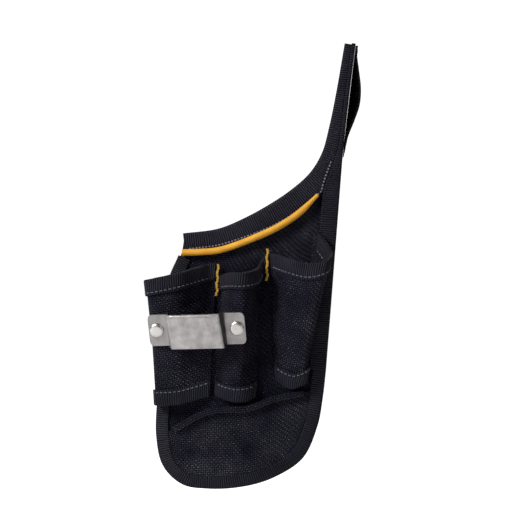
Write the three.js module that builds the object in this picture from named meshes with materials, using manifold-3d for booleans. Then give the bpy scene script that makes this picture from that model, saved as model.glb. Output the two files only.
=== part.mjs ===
// Electrician's tool pouch: a gusseted belt pouch of bound ballistic nylon with three tool sleeves
// and a flat pocket on each side, and a steel clip for a tape measure riveted across two sleeves.
// Millimetres, +Z up. +X is the side that lies on the hip, -X the front of the pouch, and the side
// with the clip faces -Y. The origin is the middle of the belt tunnel.
import * as THREE from "three";
import { mergeVertices } from "three/addons/utils/BufferGeometryUtils.js";
import Module from "manifold-3d";

const wasm = await Module();
wasm.setup();

// ---------------------------------------------------------------- driving dimensions
const GAP = 0.3; // clearance between pieces that touch
const PANEL = 1.8; // side panel: two layers of ballistic nylon
const WALL = 1.4; // sleeve and pocket fabric
const TAPE = 0.9; // grosgrain binding tape
const FLANGE = 1.2; // gusset fabric

const BACK_HALF = 28.5; // half width of the pouch at the hip
const FRONT_HALF = 12.5; // half width at the front edge
const NECK_HALF = 25; // half width of the neck
const BOTTOM_SHARE = 0.28; // how much the bottom is narrower than the middle
const BELLY = 2.5; // outward crown of the side panels
const POUCH_DEPTH = 112; // hip plane to front edge
const NECK_TOP = 124; // heights are from the level of the sleeve row
const SHOULDER = 20; // where the side panel starts to narrow to the neck
const NECK_START = 45; // the hip plane is flat below this height
const NECK_LEAN = 2.9; // how far the neck leans towards the hip at its top
const BACK_END = -95; // lower end of the back panel
const BOTTOM = -182.5;
const LOW_START = -60; // the pouch narrows below this height

const EDGE_START = 0.046; // the edge tape's two ends, as shares of the edge's length
const EDGE_END = 0.997;
const GUSSET_START = 0.006; // the gusset's two ends
const GUSSET_END = 0.994;
const EDGE_TAPE = 9; // width of the tape on the front and bottom edges
const MOUTH_BAND = 11; // width of the band round the mouth
const INNER_LEG_START = [-87, -78]; // x between which its inner leg clears the gusset and widens
const BACK_TAPE = 11.5; // width of the tape on the back edges
const HIP_LEG = 9; // width of the back tape on the hip face
const SEAM_FIN = 9.5; // how far the bound seam stands out from the gusset
const SEAM_FIN_END = 2; // and at its back end
const MIN_LEG = 0.2;
const PLATEAU = 2.4; // padded middle of the hip panel
const REBATE = 1.2; // its sewn-down edge, under the tape
const BOARD = 1.6; // stiffener
const LINING = 0.9;
const PIPING_RADIUS = 2.25;

const LOOP_HALF = 19; // half width of the belt loop webbing
const WEBBING = 1.6;
const TUNNEL = new THREE.Vector3(4.4, 0, 91); // middle of the belt tunnel

const CLIP_SHEET = 1.2; // steel clip
const CLIP_RISE = 5.5;
const CLIP_LENGTH = 66;
const TAB_HEIGHT = 21.8;
const PLATE_HEIGHT = 23.6;
const LIP = { wide: 2, thick: 1.3 }; // rolled top edge of its plate
const RIVET_HEAD = 4.7;
const RIVET_SHANK = 2;

// Outlines in the side view, as x and z.
const MOUTH = [
  [-104, -11], [-80, -6], [-63.5, 2], [-48.5, 11.5], [-33, 23.5], [-21, 36],
  [-14, 50], [-10.5, 68], [-7.5, 92], [-4.5, NECK_TOP],
];
const FRONT_BOTTOM = [
  [-104, -11], [-105.5, -25], [-110.8, -41], [-112.5, -70], [-113, -120], [-111.8, -150],
  [-105.5, -170], [-91.5, -181.3], [-74, BOTTOM], [-55, -180], [-30, -170.8], [-11, -155.5],
  [-2.8, -133], [-0.6, -112], [0, BACK_END],
];
const FRONT_CORNER = 0.43; // where the front edge turns into the bottom, as a share of its length
const PIPING = [[-103, -24], [-90, -22.6], [-76.5, -20], [-51, -8.5], [-38, -1], [-25.5, 9], [-14.5, 21.5]];
const POCKET_TOP = [[-76, -128.5], [-50, -124], [-33, -116]];
const LOOP_PATH = [
  [3.8, 123.5], [3.8, 117], [5.6, 108], [8.1, 95], [8.1, 84], [5.6, 74], [1.9, 62], [1.2, 56], [1.1, 50],
];

// Each sleeve's wall, from its front seam to its back seam: x, distance from the side panel, z;
// taped is the share of its width that carries tape.
const SLEEVES = [
  {
    name: "front",
    taped: [0.13, 1],
    top: [
      [-98, 0.5, -41], [-103, 3, -41.8], [-113, 8, -44], [-123, 13, -46], [-124.4, 18.6, -45.6],
      [-116, 21.5, -43.2], [-103, 18.5, -39], [-90, 7.5, -34], [-83, 2, -31.6], [-79, 1.7, -30.3],
    ],
    bottom: [
      [-98, 0.5, -125], [-101, 2, -125.4], [-105, 3.2, -126], [-111.8, 4, -126.8],
      [-113, 6.4, -126.9], [-108, 7.6, -126.4], [-98, 6.4, -125], [-87, 3.6, -121.3],
      [-80, 1.9, -118.7], [-77, 1.7, -117.8],
    ],
  },
  {
    name: "middle",
    taped: [0, 1],
    top: [
      [-76, 1.7, -38.6], [-74.2, 2.1, -38.3], [-71.5, 9, -37.3], [-67, 19, -36], [-60, 23.5, -35.3],
      [-53.5, 19.5, -33.6], [-50, 10, -31.5], [-48.6, 3, -27.5], [-47.6, 1.9, -25], [-46.4, 1.7, -22.5],
    ],
    bottom: [
      [-73.5, 1.7, -116.5], [-72, 2, -117], [-69, 3.5, -118], [-64, 5.5, -119.2],
      [-59, 6.2, -119.6], [-54, 5.3, -119], [-50, 3.5, -117.8], [-47.8, 2.1, -116.4],
      [-46.6, 1.8, -115.8], [-45.4, 1.7, -115.2],
    ],
  },
  {
    name: "back",
    taped: [0, 0.87],
    top: [
      [-43.5, 1.7, -20.6], [-41.8, 2, -21], [-37, 8, -22.3], [-29, 14.5, -24.2], [-17, 19, -26],
      [-9.5, 20.6, -24.4], [-4.2, 19, -21.5], [-2.6, 14.6, -17.5], [-8, 6.5, -9.2], [-14.2, 0.5, -3.4],
    ],
    bottom: [
      [-33.5, 1.7, -102.5], [-32, 2, -103], [-29.5, 3.2, -105], [-26, 4.5, -106.5], [-21.5, 5.8, -107.3],
      [-17, 6.4, -105.5], [-13.6, 5.8, -103.4], [-13, 4.2, -102.2], [-14.6, 2.2, -101.4],
      [-17.2, 0.5, -100.6],
    ],
  },
];
const EDGE_STEPS = 32; // facets along the front and bottom edge
const MOUTH_STEPS = 26; // facets along the mouth
const SLEEVE_STATIONS = 15; // facets across a sleeve
const SLACK = 0.45; // clearance under a sleeve's tape
const SLEEVE_BELLY = 0.12; // outward crown of a sleeve halfway down, as a share of its depth
const SLEEVE_TAPE = 9.5; // width of the tapes at the top and bottom of a sleeve
const MID_ROWS = [0.37, 0.63]; // rows of a sleeve's wall between its tapes
const BARTACK = { width: 2.3, off: 2.9, thick: 1 };
const BARTACKS = [
  { name: "front", top: [-77.6, -30], bottom: [-77.1, -51] },
  { name: "back", top: [-45.2, -17], bottom: [-44.1, -38] },
];

// ---------------------------------------------------------------- colours
const NYLON = { color: 0x1b1c24, roughness: 0.72, metalness: 0 };
const GROSGRAIN = { color: 0x22232b, roughness: 0.85, metalness: 0 };
const YELLOW = { color: 0xe9a42a, roughness: 0.6, metalness: 0 };
const BOARD_GREY = { color: 0x3a3b3f, roughness: 0.7, metalness: 0 };
const STEEL = { color: 0xa9a49e, roughness: 0.38, metalness: 1 };
const RIVET_STEEL = { color: 0xcfcac2, roughness: 0.3, metalness: 1 };

// ---------------------------------------------------------------- shape functions
const { clamp, lerp, smoothstep } = THREE.MathUtils;

// Where the hip face lies at height z.
function hipX(z) {
  return NECK_LEAN * clamp((z - NECK_START) / (NECK_TOP - NECK_START), 0, 1) ** 1.4;
}

// Half width of the pouch, to the outside of its side panels.
function halfWidth(x, z) {
  const forward = clamp(-x / POUCH_DEPTH, 0, 1);
  const low = clamp((LOW_START - z) / (LOW_START - BOTTOM), 0, 1);
  const high = smoothstep(z, SHOULDER - 40, SHOULDER + 60);
  const straight = lerp(BACK_HALF, FRONT_HALF, forward) + BELLY * Math.sin(Math.PI * forward);
  return straight * (1 - BOTTOM_SHARE * low * low) - (BACK_HALF - NECK_HALF) * high;
}

// A point on the near side panel, or off millimetres outside it.
function onSide(x, z, off) {
  return new THREE.Vector3(x, -(halfWidth(x, z) + off), z);
}

function spline(points) {
  const knots = points.map(([x, z]) => new THREE.Vector3(x, 0, z));
  return new THREE.CatmullRomCurve3(knots, false, "centripetal");
}

// Stations along part of a curve in the side view, each with its outward direction.
function stations(curve, from, to, count, turn) {
  const list = [];
  for (let k = 0; k <= count; k += 1) {
    const t = lerp(from, to, k / count);
    const point = curve.getPointAt(t);
    const along = curve.getTangentAt(t);
    list.push({ t, x: point.x, z: point.z, ex: -turn * along.z, ez: turn * along.x });
  }
  return list;
}

// A point beside a station: outward by e in the plane of the side, and off outside its face.
function beside(station, e, off) {
  return onSide(station.x + e * station.ex, station.z + e * station.ez, off);
}

// How wide the back tape is on the side of the pouch at height z.
function rimWidth(z) {
  const narrow = lerp(3.3, 2.7, clamp((z - 60) / 64, 0, 1));
  return lerp(BACK_TAPE, narrow, smoothstep(z, 18, 60));
}

// ---------------------------------------------------------------- solids
function closed(positions, triangles) {
  const geometry = new THREE.BufferGeometry();
  const flat = positions.flatMap((p) => [p.x, p.y, p.z]);
  geometry.setAttribute("position", new THREE.Float32BufferAttribute(flat, 3));
  const volume = triangles.reduce((sum, [a, b, c]) => {
    const cross = new THREE.Vector3().crossVectors(positions[b], positions[c]);
    return sum + positions[a].dot(cross);
  }, 0);
  const outward = volume > 0 ? triangles : triangles.map(([a, b, c]) => [a, c, b]);
  geometry.setIndex(outward.flat());
  geometry.computeVertexNormals();
  return geometry;
}

// A solid swept through rings of points; flatOutline is the shape that fills its two ends.
function sweep(rings, flatOutline) {
  const size = rings[0].length;
  const triangles = [];
  for (let k = 0; k + 1 < rings.length; k += 1) {
    for (let j = 0; j < size; j += 1) {
      const next = (j + 1) % size;
      const [a, b] = [k * size + j, k * size + next];
      triangles.push([a, b, b + size], [a, b + size, a + size]);
    }
  }
  const last = (rings.length - 1) * size;
  const flat = flatOutline.map(([x, y]) => new THREE.Vector2(x, y));
  const turn = Math.sign(THREE.ShapeUtils.area(flat));
  for (const face of THREE.ShapeUtils.triangulateShape(flat, [])) {
    const same = Math.sign(THREE.ShapeUtils.area(face.map((k) => flat[k]))) === turn;
    const [a, b, c] = same ? face : [...face].reverse();
    triangles.push([a, c, b], [last + a, last + b, last + c]);
  }
  return closed(rings.flat(), triangles);
}

// A solid swept along stations, from an outline in (e, off) that may change from one to the next.
function sweepSection(list, sectionAt) {
  const rings = list.map((s) => sectionAt(s).map(([e, off]) => beside(s, e, off)));
  return sweep(rings, sectionAt(list[Math.floor(list.length / 2)]));
}

// A closed sheet between an outer and an inner grid of points.
function sheet(outer, inner) {
  const rows = outer.length;
  const columns = outer[0].length;
  const id = (i, j, layer) => layer * rows * columns + i * columns + j;
  const triangles = [];
  const quad = (a, b, c, d) => triangles.push([a, b, c], [a, c, d]);
  for (let i = 0; i + 1 < rows; i += 1) {
    for (let j = 0; j + 1 < columns; j += 1) {
      quad(id(i, j, 0), id(i + 1, j, 0), id(i + 1, j + 1, 0), id(i, j + 1, 0));
      quad(id(i, j, 1), id(i, j + 1, 1), id(i + 1, j + 1, 1), id(i + 1, j, 1));
    }
  }
  for (let i = 0; i + 1 < rows; i += 1) {
    quad(id(i, 0, 0), id(i, 0, 1), id(i + 1, 0, 1), id(i + 1, 0, 0));
    const end = columns - 1;
    quad(id(i, end, 0), id(i + 1, end, 0), id(i + 1, end, 1), id(i, end, 1));
  }
  for (let j = 0; j + 1 < columns; j += 1) {
    quad(id(0, j, 0), id(0, j + 1, 0), id(0, j + 1, 1), id(0, j, 1));
    const end = rows - 1;
    quad(id(end, j, 0), id(end, j, 1), id(end, j + 1, 1), id(end, j + 1, 0));
  }
  return closed([...outer.flat(2), ...inner.flat(2)], triangles);
}

// A grid that fills the space between four edges; each edge maps 0..1 to a point.
function patch(bottom, top, left, right, across, up) {
  const corner = (u, v) => lerp2(lerp2(bottom(0), bottom(1), u), lerp2(top(0), top(1), u), v);
  const grid = [];
  for (let i = 0; i <= across; i += 1) {
    const column = [];
    for (let j = 0; j <= up; j += 1) {
      const [u, v] = [i / across, j / up];
      const between = lerp2(bottom(u), top(u), v).add(lerp2(left(v), right(v), u));
      column.push(between.sub(corner(u, v)));
    }
    grid.push(column);
  }
  return grid;
}

function lerp2(a, b, t) {
  return new THREE.Vector3().lerpVectors(a, b, t);
}

function mirrored(geometry) {
  const copy = geometry.clone().scale(1, -1, 1);
  const index = Array.from(copy.index.array);
  for (let k = 0; k < index.length; k += 3) {
    [index[k + 1], index[k + 2]] = [index[k + 2], index[k + 1]];
  }
  copy.setIndex(index);
  copy.computeVertexNormals();
  return copy;
}

function toSolid(geometry) {
  const bare = geometry.clone();
  bare.deleteAttribute("normal");
  bare.deleteAttribute("uv");
  const merged = mergeVertices(bare, 1e-4);
  return new wasm.Manifold(new wasm.Mesh({
    numProp: 3,
    vertProperties: new Float32Array(merged.attributes.position.array),
    triVerts: new Uint32Array(merged.index.array),
  }));
}

function fromSolid(solid) {
  const mesh = solid.getMesh();
  const geometry = new THREE.BufferGeometry();
  geometry.setAttribute("position", new THREE.Float32BufferAttribute(mesh.vertProperties, 3));
  geometry.setIndex(Array.from(mesh.triVerts));
  geometry.computeVertexNormals();
  return geometry;
}

// ---------------------------------------------------------------- the object
const pouch = new THREE.Group();
pouch.position.copy(TUNNEL).negate();

function add(name, geometry, look) {
  const mesh = new THREE.Mesh(geometry, new THREE.MeshStandardMaterial(look));
  mesh.name = name;
  pouch.add(mesh);
  return mesh;
}

function addBothSides(name, geometry, look) {
  add(`${name}_near`, geometry, look);
  add(`${name}_far`, mirrored(geometry), look);
}

const mouthCurve = spline(MOUTH);
const edgeCurve = spline(FRONT_BOTTOM);
const FOLD = GAP + TAPE; // how far a tape stands out from the edge that it binds
const CUT = FOLD + 0.4; // how far inside the finished outline a panel is cut
const BACK_THICK = PLATEAU + GAP + BOARD + GAP + LINING;

// ---- side panels
// A curve with its two ends moved exactly onto two corners.
function between(raw, start, end) {
  const fix0 = new THREE.Vector3().subVectors(start, raw(0));
  const fix1 = new THREE.Vector3().subVectors(end, raw(1));
  return (t) => raw(t).add(lerp2(fix0, fix1, t));
}

function insetCurve(curve, from, to, inset, turn) {
  return (t) => {
    const [s] = stations(curve, lerp(from, to, t), 1, 1, turn);
    return new THREE.Vector3(s.x - inset * s.ex, 0, s.z - inset * s.ez);
  };
}

function sidePanel() {
  const [across, up] = [16, 12];
  const frontRaw = insetCurve(edgeCurve, FRONT_CORNER, 0, CUT, -1);
  const bottomRaw = insetCurve(edgeCurve, FRONT_CORNER, 1, CUT, -1);
  const mouthRaw = insetCurve(mouthCurve, 0, 1, CUT, 1);
  const corner = frontRaw(0);
  const frontTop = new THREE.Vector3(frontRaw(1).x, 0, mouthRaw(0).z);
  const neckFront = new THREE.Vector3(mouthRaw(1).x, 0, NECK_TOP - FOLD);
  const neckBack = new THREE.Vector3(hipX(NECK_TOP) - FOLD, 0, NECK_TOP - FOLD);
  const lowBack = new THREE.Vector3(-FOLD, 0, BACK_END);
  const mouth = between(mouthRaw, frontTop, neckFront);
  const turn = 1 - 1 / across; // the last column of the grid crosses the top of the neck
  const top = (u) => (u <= turn ? mouth(u / turn) : lerp2(neckFront, neckBack, (u - turn) / (1 - turn)));
  const back = (v) => {
    const z = lerp(lowBack.z, neckBack.z, v);
    return new THREE.Vector3(hipX(z) - FOLD, 0, z);
  };
  const bottom = between(bottomRaw, corner, lowBack);
  const front = between(frontRaw, corner, frontTop);
  return panelSheet(patch(bottom, top, front, back, across, up), 0, PANEL);
}

// A sheet that lies on the side of the pouch, its outer face off outside the panel's.
function panelSheet(flat, off, thickness) {
  const offAt = typeof off === "function" ? off : () => off;
  const layer = (depth) => flat.map((column, i) => column.map((p, j) => (
    onSide(p.x, p.z, offAt(i / (flat.length - 1), j / (column.length - 1)) - depth)
  )));
  return sheet(layer(0), layer(thickness));
}

addBothSides("side_panel", sidePanel(), NYLON);

// ---- gusset round the front and the bottom, and the tape over its bound seam
function finAt(s) {
  return lerp(SEAM_FIN, SEAM_FIN_END, smoothstep(s.t, 0.86, 1));
}

const STACK = PANEL + GAP + FLANGE; // what the edge tape binds

function gusset() {
  const list = stations(edgeCurve, GUSSET_START, GUSSET_END, EDGE_STEPS, -1);
  const rings = list.map((s) => {
    const fin = finAt(s);
    const off = -(PANEL + GAP);
    const near = (e, depth) => beside(s, e, depth);
    const far = (e, depth) => near(e, depth).multiply(new THREE.Vector3(1, -1, 1));
    return [
      near(-CUT, off), near(-fin - FLANGE, off), far(-fin - FLANGE, off), far(-CUT, off),
      far(-CUT, off - FLANGE), far(-fin, off - FLANGE), near(-fin, off - FLANGE), near(-CUT, off - FLANGE),
    ];
  });
  const flat = [[0, 4], [-3, 4], [-3, -4], [0, -4], [0, -3], [-2, -3], [-2, 3], [0, 3]];
  return sweep(rings, flat);
}

// A tape folded over an edge: outer leg, fold and inner leg.
function folded(outerLeg, innerLeg, stack) {
  const [outside, inside] = [GAP, -(stack + GAP)];
  return [
    [-outerLeg, outside], [-outerLeg, outside + TAPE], [GAP + TAPE, outside + TAPE],
    [GAP + TAPE, inside - TAPE], [-innerLeg, inside - TAPE], [-innerLeg, inside],
    [GAP, inside], [GAP, outside],
  ];
}

function edgeTape() {
  const list = stations(edgeCurve, EDGE_START, EDGE_END, EDGE_STEPS, -1);
  const bound = list.map((s) => ({ ...s, x: s.x - FOLD * s.ex, z: s.z - FOLD * s.ez }));
  return sweepSection(bound, (s) => {
    const innerLeg = Math.max(-MIN_LEG, finAt(s) - FLANGE - 2);
    return folded(EDGE_TAPE - FOLD, innerLeg, STACK);
  });
}

add("gusset", gusset(), NYLON);
addBothSides("edge_tape", edgeTape(), GROSGRAIN);

// ---- mouth band, piping and back tape
// The widest outer leg of the mouth band that stays clear of the back tape.
function legBesideBackTape(s) {
  let leg = MOUTH_BAND;
  const clearance = () => {
    const z = s.z - leg * s.ez;
    return hipX(z) - rimWidth(z) - (s.x - leg * s.ex);
  };
  while (leg > 1 && clearance() < 2 * GAP) leg -= 0.2;
  return leg;
}

function mouthBand() {
  const list = stations(mouthCurve, 0.002, 0.998, MOUTH_STEPS, 1);
  const bound = list.map((s) => ({ ...s, x: s.x - FOLD * s.ex, z: s.z - FOLD * s.ez }));
  return sweepSection(bound, (s) => {
    const outerLeg = legBesideBackTape(s);
    const pastGusset = smoothstep(s.x, ...INNER_LEG_START);
    const room = hipX(s.z) - BACK_THICK - 2 * GAP - s.x;
    const innerLeg = clamp(room / Math.max(GAP, -s.ex), -GAP, MOUTH_BAND);
    return folded(outerLeg, lerp(-GAP, innerLeg, pastGusset), STACK);
  });
}

function piping() {
  const curve = spline(PIPING);
  const list = stations(curve, 0, 1, 22, 1);
  const sides = 8;
  const circle = Array.from({ length: sides }, (_, k) => (k * 2 * Math.PI) / sides);
  return sweepSection(list, (s) => {
    const radius = PIPING_RADIUS * lerp(1, 0.25, smoothstep(s.t, 0.72, 1));
    const overTape = smoothstep(-s.x, 84, 92); // its front end lies on the edge tape
    const middle = GAP + radius + FOLD * overTape;
    return circle.map((a) => [radius * Math.cos(a), middle + radius * Math.sin(a)]);
  });
}

// Points in a level slice of the near side: x from the hip face, and distance outside the panel.
function slice(z, points) {
  return points.map(([x, off]) => {
    const half = halfWidth(hipX(z) + x, z);
    return new THREE.Vector3(hipX(z) + x, -(half + off), z);
  });
}

function levels(from, to, count) {
  return Array.from({ length: count + 1 }, (_, k) => lerp(from, to, k / count));
}

function backTape() {
  const outline = (z) => [
    [-rimWidth(z), GAP], [-rimWidth(z), FOLD], [0, FOLD], [0, -HIP_LEG], [-TAPE, -HIP_LEG], [-TAPE, GAP],
  ];
  const rings = levels(BACK_END + GAP, NECK_TOP, 18).map((z) => slice(z, outline(z)));
  return sweep(rings, outline(0));
}

addBothSides("mouth_band", mouthBand(), GROSGRAIN);
addBothSides("piping", piping(), YELLOW);
addBothSides("back_tape", backTape(), GROSGRAIN);

// ---- back: hip panel, stiffener and lining, between the two side panels
// A layer of the back, swept up from an outline of x from the hip face and y.
function backLayer(outlineAt, from, to) {
  const rings = levels(from, to, 14).map((z) => (
    outlineAt(z).map(([x, y]) => new THREE.Vector3(hipX(z) + x, y, z))
  ));
  return sweep(rings, outlineAt(0));
}

function innerHalf(z) {
  return Math.min(halfWidth(0, z), halfWidth(-6, z)) - PANEL - GAP;
}

function hipPanelOutline(z) {
  const half = innerHalf(z);
  const raised = halfWidth(0, z) - HIP_LEG - 2 * GAP;
  return [
    [-PLATEAU, half], [-PLATEAU, -half], [-REBATE, -half], [-REBATE, -raised],
    [0, -raised], [0, raised], [-REBATE, raised], [-REBATE, half],
  ];
}

function slab(front, back, margin) {
  return (z) => {
    const half = innerHalf(z) - margin;
    return [[front, half], [front, -half], [back, -half], [back, half]];
  };
}

const boardBack = -(PLATEAU + GAP);
const liningBack = boardBack - BOARD - GAP;
add("hip_panel", backLayer(hipPanelOutline, BACK_END, NECK_TOP - FOLD), NYLON);
const board = slab(boardBack - BOARD, boardBack, 1.5);
add("stiffener", backLayer(board, BACK_END + 3, NECK_TOP - 4), BOARD_GREY);
add("back_lining", backLayer(slab(-BACK_THICK, liningBack, 0), BACK_END, NECK_TOP - FOLD), NYLON);

function neckBinding() {
  const half = halfWidth(0, NECK_TOP) - STACK - GAP - FOLD - GAP;
  const under = NECK_TOP - FOLD + GAP;
  const front = hipX(NECK_TOP) - BACK_THICK - GAP;
  const outline = [
    [front - TAPE, under - 9], [front, under - 9], [front, under],
    [hipX(NECK_TOP) - TAPE, under], [hipX(NECK_TOP) - TAPE, under + TAPE], [front - TAPE, under + TAPE],
  ];
  const lean = (z) => hipX(z) - hipX(NECK_TOP);
  const rings = [-half, half].map((y) => outline.map(([x, z]) => new THREE.Vector3(x + lean(z), y, z)));
  return sweep(rings, outline);
}

function gussetHem() {
  const wall = stations(edgeCurve, GUSSET_START, GUSSET_START, 1, -1)[0];
  const x = wall.x - wall.ex * (FOLD + SEAM_FIN - 2);
  const top = wall.z;
  const half = halfWidth(x, top) - STACK - 2 * GAP - TAPE;
  const outline = [
    [x - 3, top - 9], [x - 3, top + FOLD], [x + 3, top + FOLD], [x + 3, top - 9],
    [x + 2, top - 9], [x + 2, top + GAP], [x - 2, top + GAP], [x - 2, top - 9],
  ];
  const rings = [-half, half].map((y) => outline.map(([px, z]) => new THREE.Vector3(px, y, z)));
  return sweep(rings, outline);
}

add("neck_binding", neckBinding(), GROSGRAIN);
add("gusset_hem", gussetHem(), GROSGRAIN);

// ---- belt loop
const loopCurve = spline(LOOP_PATH);

function strap(from, to, count, half, inside, outside) {
  const rings = stations(loopCurve, from, to, count, 1).map((s) => {
    const corner = (off, y) => new THREE.Vector3(s.x + off * s.ex, y, s.z + off * s.ez);
    return [
      corner(inside, -half), corner(inside, half), corner(outside, half), corner(outside, -half),
    ];
  });
  return sweep(rings, [[0, 0], [0, 1], [1, 1], [1, 0]]);
}

const outer = WEBBING / 2;
add("belt_loop", strap(0, 1, 24, LOOP_HALF, -outer, outer), GROSGRAIN);
add("belt_loop_bartack_top", strap(0.03, 0.06, 1, LOOP_HALF - 2, outer + GAP, outer + GAP + 1), GROSGRAIN);
add("belt_loop_bartack_low", strap(0.93, 0.96, 1, LOOP_HALF - 2, outer + GAP, outer + GAP + 1), GROSGRAIN);

// ---- sleeves
// The outer face of a sleeve's wall: s runs across it, t from its top edge to its bottom edge.
function sleeveSurface(sleeve) {
  const line = (points) => (
    new THREE.CatmullRomCurve3(points.map((p) => new THREE.Vector3(...p)), false, "centripetal")
  );
  const [top, bottom] = [line(sleeve.top), line(sleeve.bottom)];
  const flatPoint = (s, t) => {
    const point = lerp2(top.getPointAt(s), bottom.getPointAt(s), t);
    point.y += SLEEVE_BELLY * Math.sin(Math.PI * clamp(t, 0, 1)) * Math.max(0, point.y - PANEL);
    return point;
  };
  return (s, t) => {
    const here = flatPoint(s, t);
    const step = 0.01;
    const ahead = flatPoint(Math.min(1, s + step), t).sub(flatPoint(Math.max(0, s - step), t));
    const along = new THREE.Vector2(ahead.x, ahead.y).normalize();
    const point = onSide(here.x, here.z, here.y);
    return { point, out: new THREE.Vector3(-along.y, -along.x, 0) };
  };
}

function sleeveWall(surface, share) {
  const rows = [0, share, ...MID_ROWS, 1 - share, 1];
  const grid = (depth) => levels(0, 1, SLEEVE_STATIONS).map((s) => rows.map((t) => {
    const { point, out } = surface(s, t);
    return point.addScaledVector(out, -depth);
  }));
  return sheet(grid(0), grid(WALL));
}

// A tape on the outside of a sleeve, folded over the edge at t = edge and reaching in to t = inner.
function sleeveTape(surface, [start, end], edge, inner) {
  const taped = levels(0, 1, SLEEVE_STATIONS).filter((s) => s > start - 0.01 && s < end + 0.01);
  const rings = taped.map((s) => {
    const rim = surface(s, edge);
    const base = surface(s, inner);
    const beyond = new THREE.Vector3().subVectors(rim.point, base.point).normalize();
    const corner = (from, out, past) => (
      from.point.clone().addScaledVector(from.out, out).addScaledVector(beyond, past)
    );
    const [under, over] = [2 * SLACK, 2 * SLACK + TAPE];
    return [
      corner(base, SLACK, 0), corner(base, SLACK + TAPE, 0), corner(rim, SLACK + TAPE, over),
      corner(rim, -WALL, over), corner(rim, -WALL, under), corner(rim, SLACK, under),
    ];
  });
  return sweep(rings, [[0, 1], [0, 2], [8, 2], [8, 0], [7, 0], [7, 1]]);
}

const surfaces = {};
const walls = {};
for (const sleeve of SLEEVES) {
  const surface = sleeveSurface(sleeve);
  const height = surface(0.5, 0).point.distanceTo(surface(0.5, 1).point);
  surfaces[sleeve.name] = surface;
  const share = SLEEVE_TAPE / height;
  walls[sleeve.name] = sleeveWall(surface, share);
  const topTape = sleeveTape(surface, sleeve.taped, 0, share);
  const lowTape = sleeveTape(surface, sleeve.taped, 1, 1 - share);
  addBothSides(`${sleeve.name}_sleeve_top_tape`, topTape, GROSGRAIN);
  addBothSides(`${sleeve.name}_sleeve_low_tape`, lowTape, GROSGRAIN);
}

function bartack(tack) {
  const list = stations(spline([tack.top, tack.bottom]), 0, 1, 5, 1);
  const half = BARTACK.width / 2;
  const outside = BARTACK.off + BARTACK.thick;
  return sweepSection(list, () => (
    [[-half, BARTACK.off], [-half, outside], [half, outside], [half, BARTACK.off]]
  ));
}

for (const tack of BARTACKS) {
  addBothSides(`${tack.name}_bartack`, bartack(tack), YELLOW);
}

// ---- flat pocket below the sleeves
const POCKET_STAND = 2.2; // how far the middle of its top edge stands off the panel
const POCKET_EDGES = [0.415, 0.46, 0.87, 0.955]; // where its corners lie along the pouch's edge
const [leftTop, leftLow, rightLow, rightTop] = POCKET_EDGES;

function pocketSide(from, to) {
  return insetCurve(edgeCurve, from, to, EDGE_TAPE + GAP + 0.4, -1);
}

const [pocketLeft, pocketRight] = [pocketSide(leftLow, leftTop), pocketSide(rightLow, rightTop)];
const pocketEnds = [pocketLeft(1), pocketRight(1)].map((p) => [p.x, p.z]);
const pocketTop = spline([pocketEnds[0], ...POCKET_TOP, pocketEnds[1]]);

function pocketOff(u, v) {
  return GAP + WALL + POCKET_STAND * Math.sin(Math.PI * u) * v * v;
}

function flatPocket() {
  const top = (u) => pocketTop.getPointAt(u);
  const flat = patch(pocketSide(leftLow, rightLow), top, pocketLeft, pocketRight, 14, 5);
  return panelSheet(flat, pocketOff, WALL);
}

function pocketHem() {
  const roll = 3;
  const list = stations(pocketTop, 0.04, 0.96, 14, 1);
  return sweepSection(list, (s) => {
    const outside = pocketOff(s.t, 1) + SLACK;
    return [
      [-roll, outside], [-roll, outside + TAPE], [FOLD + SLACK, outside + TAPE],
      [FOLD + SLACK, outside - WALL], [GAP + SLACK, outside - WALL], [GAP + SLACK, outside],
    ];
  });
}

addBothSides("flat_pocket", flatPocket(), NYLON);
addBothSides("flat_pocket_hem", pocketHem(), NYLON);

// ---- steel clip, riveted across the front and the middle sleeve of the near side
const clipAlong = new THREE.Vector3(0.975, -0.17, 0.11).normalize();
const clipOut = new THREE.Vector3(-0.19, -0.93, -0.28);
clipOut.addScaledVector(clipAlong, -clipOut.dot(clipAlong)).normalize();
const clipUp = new THREE.Vector3().crossVectors(clipOut, clipAlong);
const CLIP_MIDDLE = new THREE.Vector3(-87.3, -35, -73);
const RIVET_REACH = CLIP_LENGTH / 2 - 5.6;
const PLATE_END = 17.2;
const BEND = 1.9;

const wallMeshes = ["front", "middle"].map((name) => new THREE.Mesh(walls[name]));

// How far outward along the clip's normal the sleeve stands at (a, b) on the clip.
function wallHits(a, b) {
  const start = CLIP_MIDDLE.clone().addScaledVector(clipAlong, a).addScaledVector(clipUp, b);
  start.addScaledVector(clipOut, 100);
  const ray = new THREE.Raycaster(start, clipOut.clone().negate());
  for (const mesh of wallMeshes) mesh.material.side = THREE.DoubleSide;
  return ray.intersectObjects(wallMeshes).map((hit) => 100 - hit.distance);
}

// The level at which a flat tab first touches the sleeves.
function seatLevel() {
  let level = -Infinity;
  for (const side of [-1, 1]) {
    for (let a = PLATE_END + BEND; a <= CLIP_LENGTH / 2; a += 1.4) {
      for (let b = -TAB_HEIGHT / 2; b <= TAB_HEIGHT / 2; b += TAB_HEIGHT / 8) {
        const [first] = wallHits(side * a, b);
        if (first !== undefined) level = Math.max(level, first);
      }
    }
  }
  return level;
}

const seatOff = seatLevel() + 2 * GAP;
const seat = CLIP_MIDDLE.clone().addScaledVector(clipOut, seatOff);
const clipFrame = new THREE.Matrix4().makeBasis(clipAlong, clipUp, clipOut).setPosition(seat);

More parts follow.
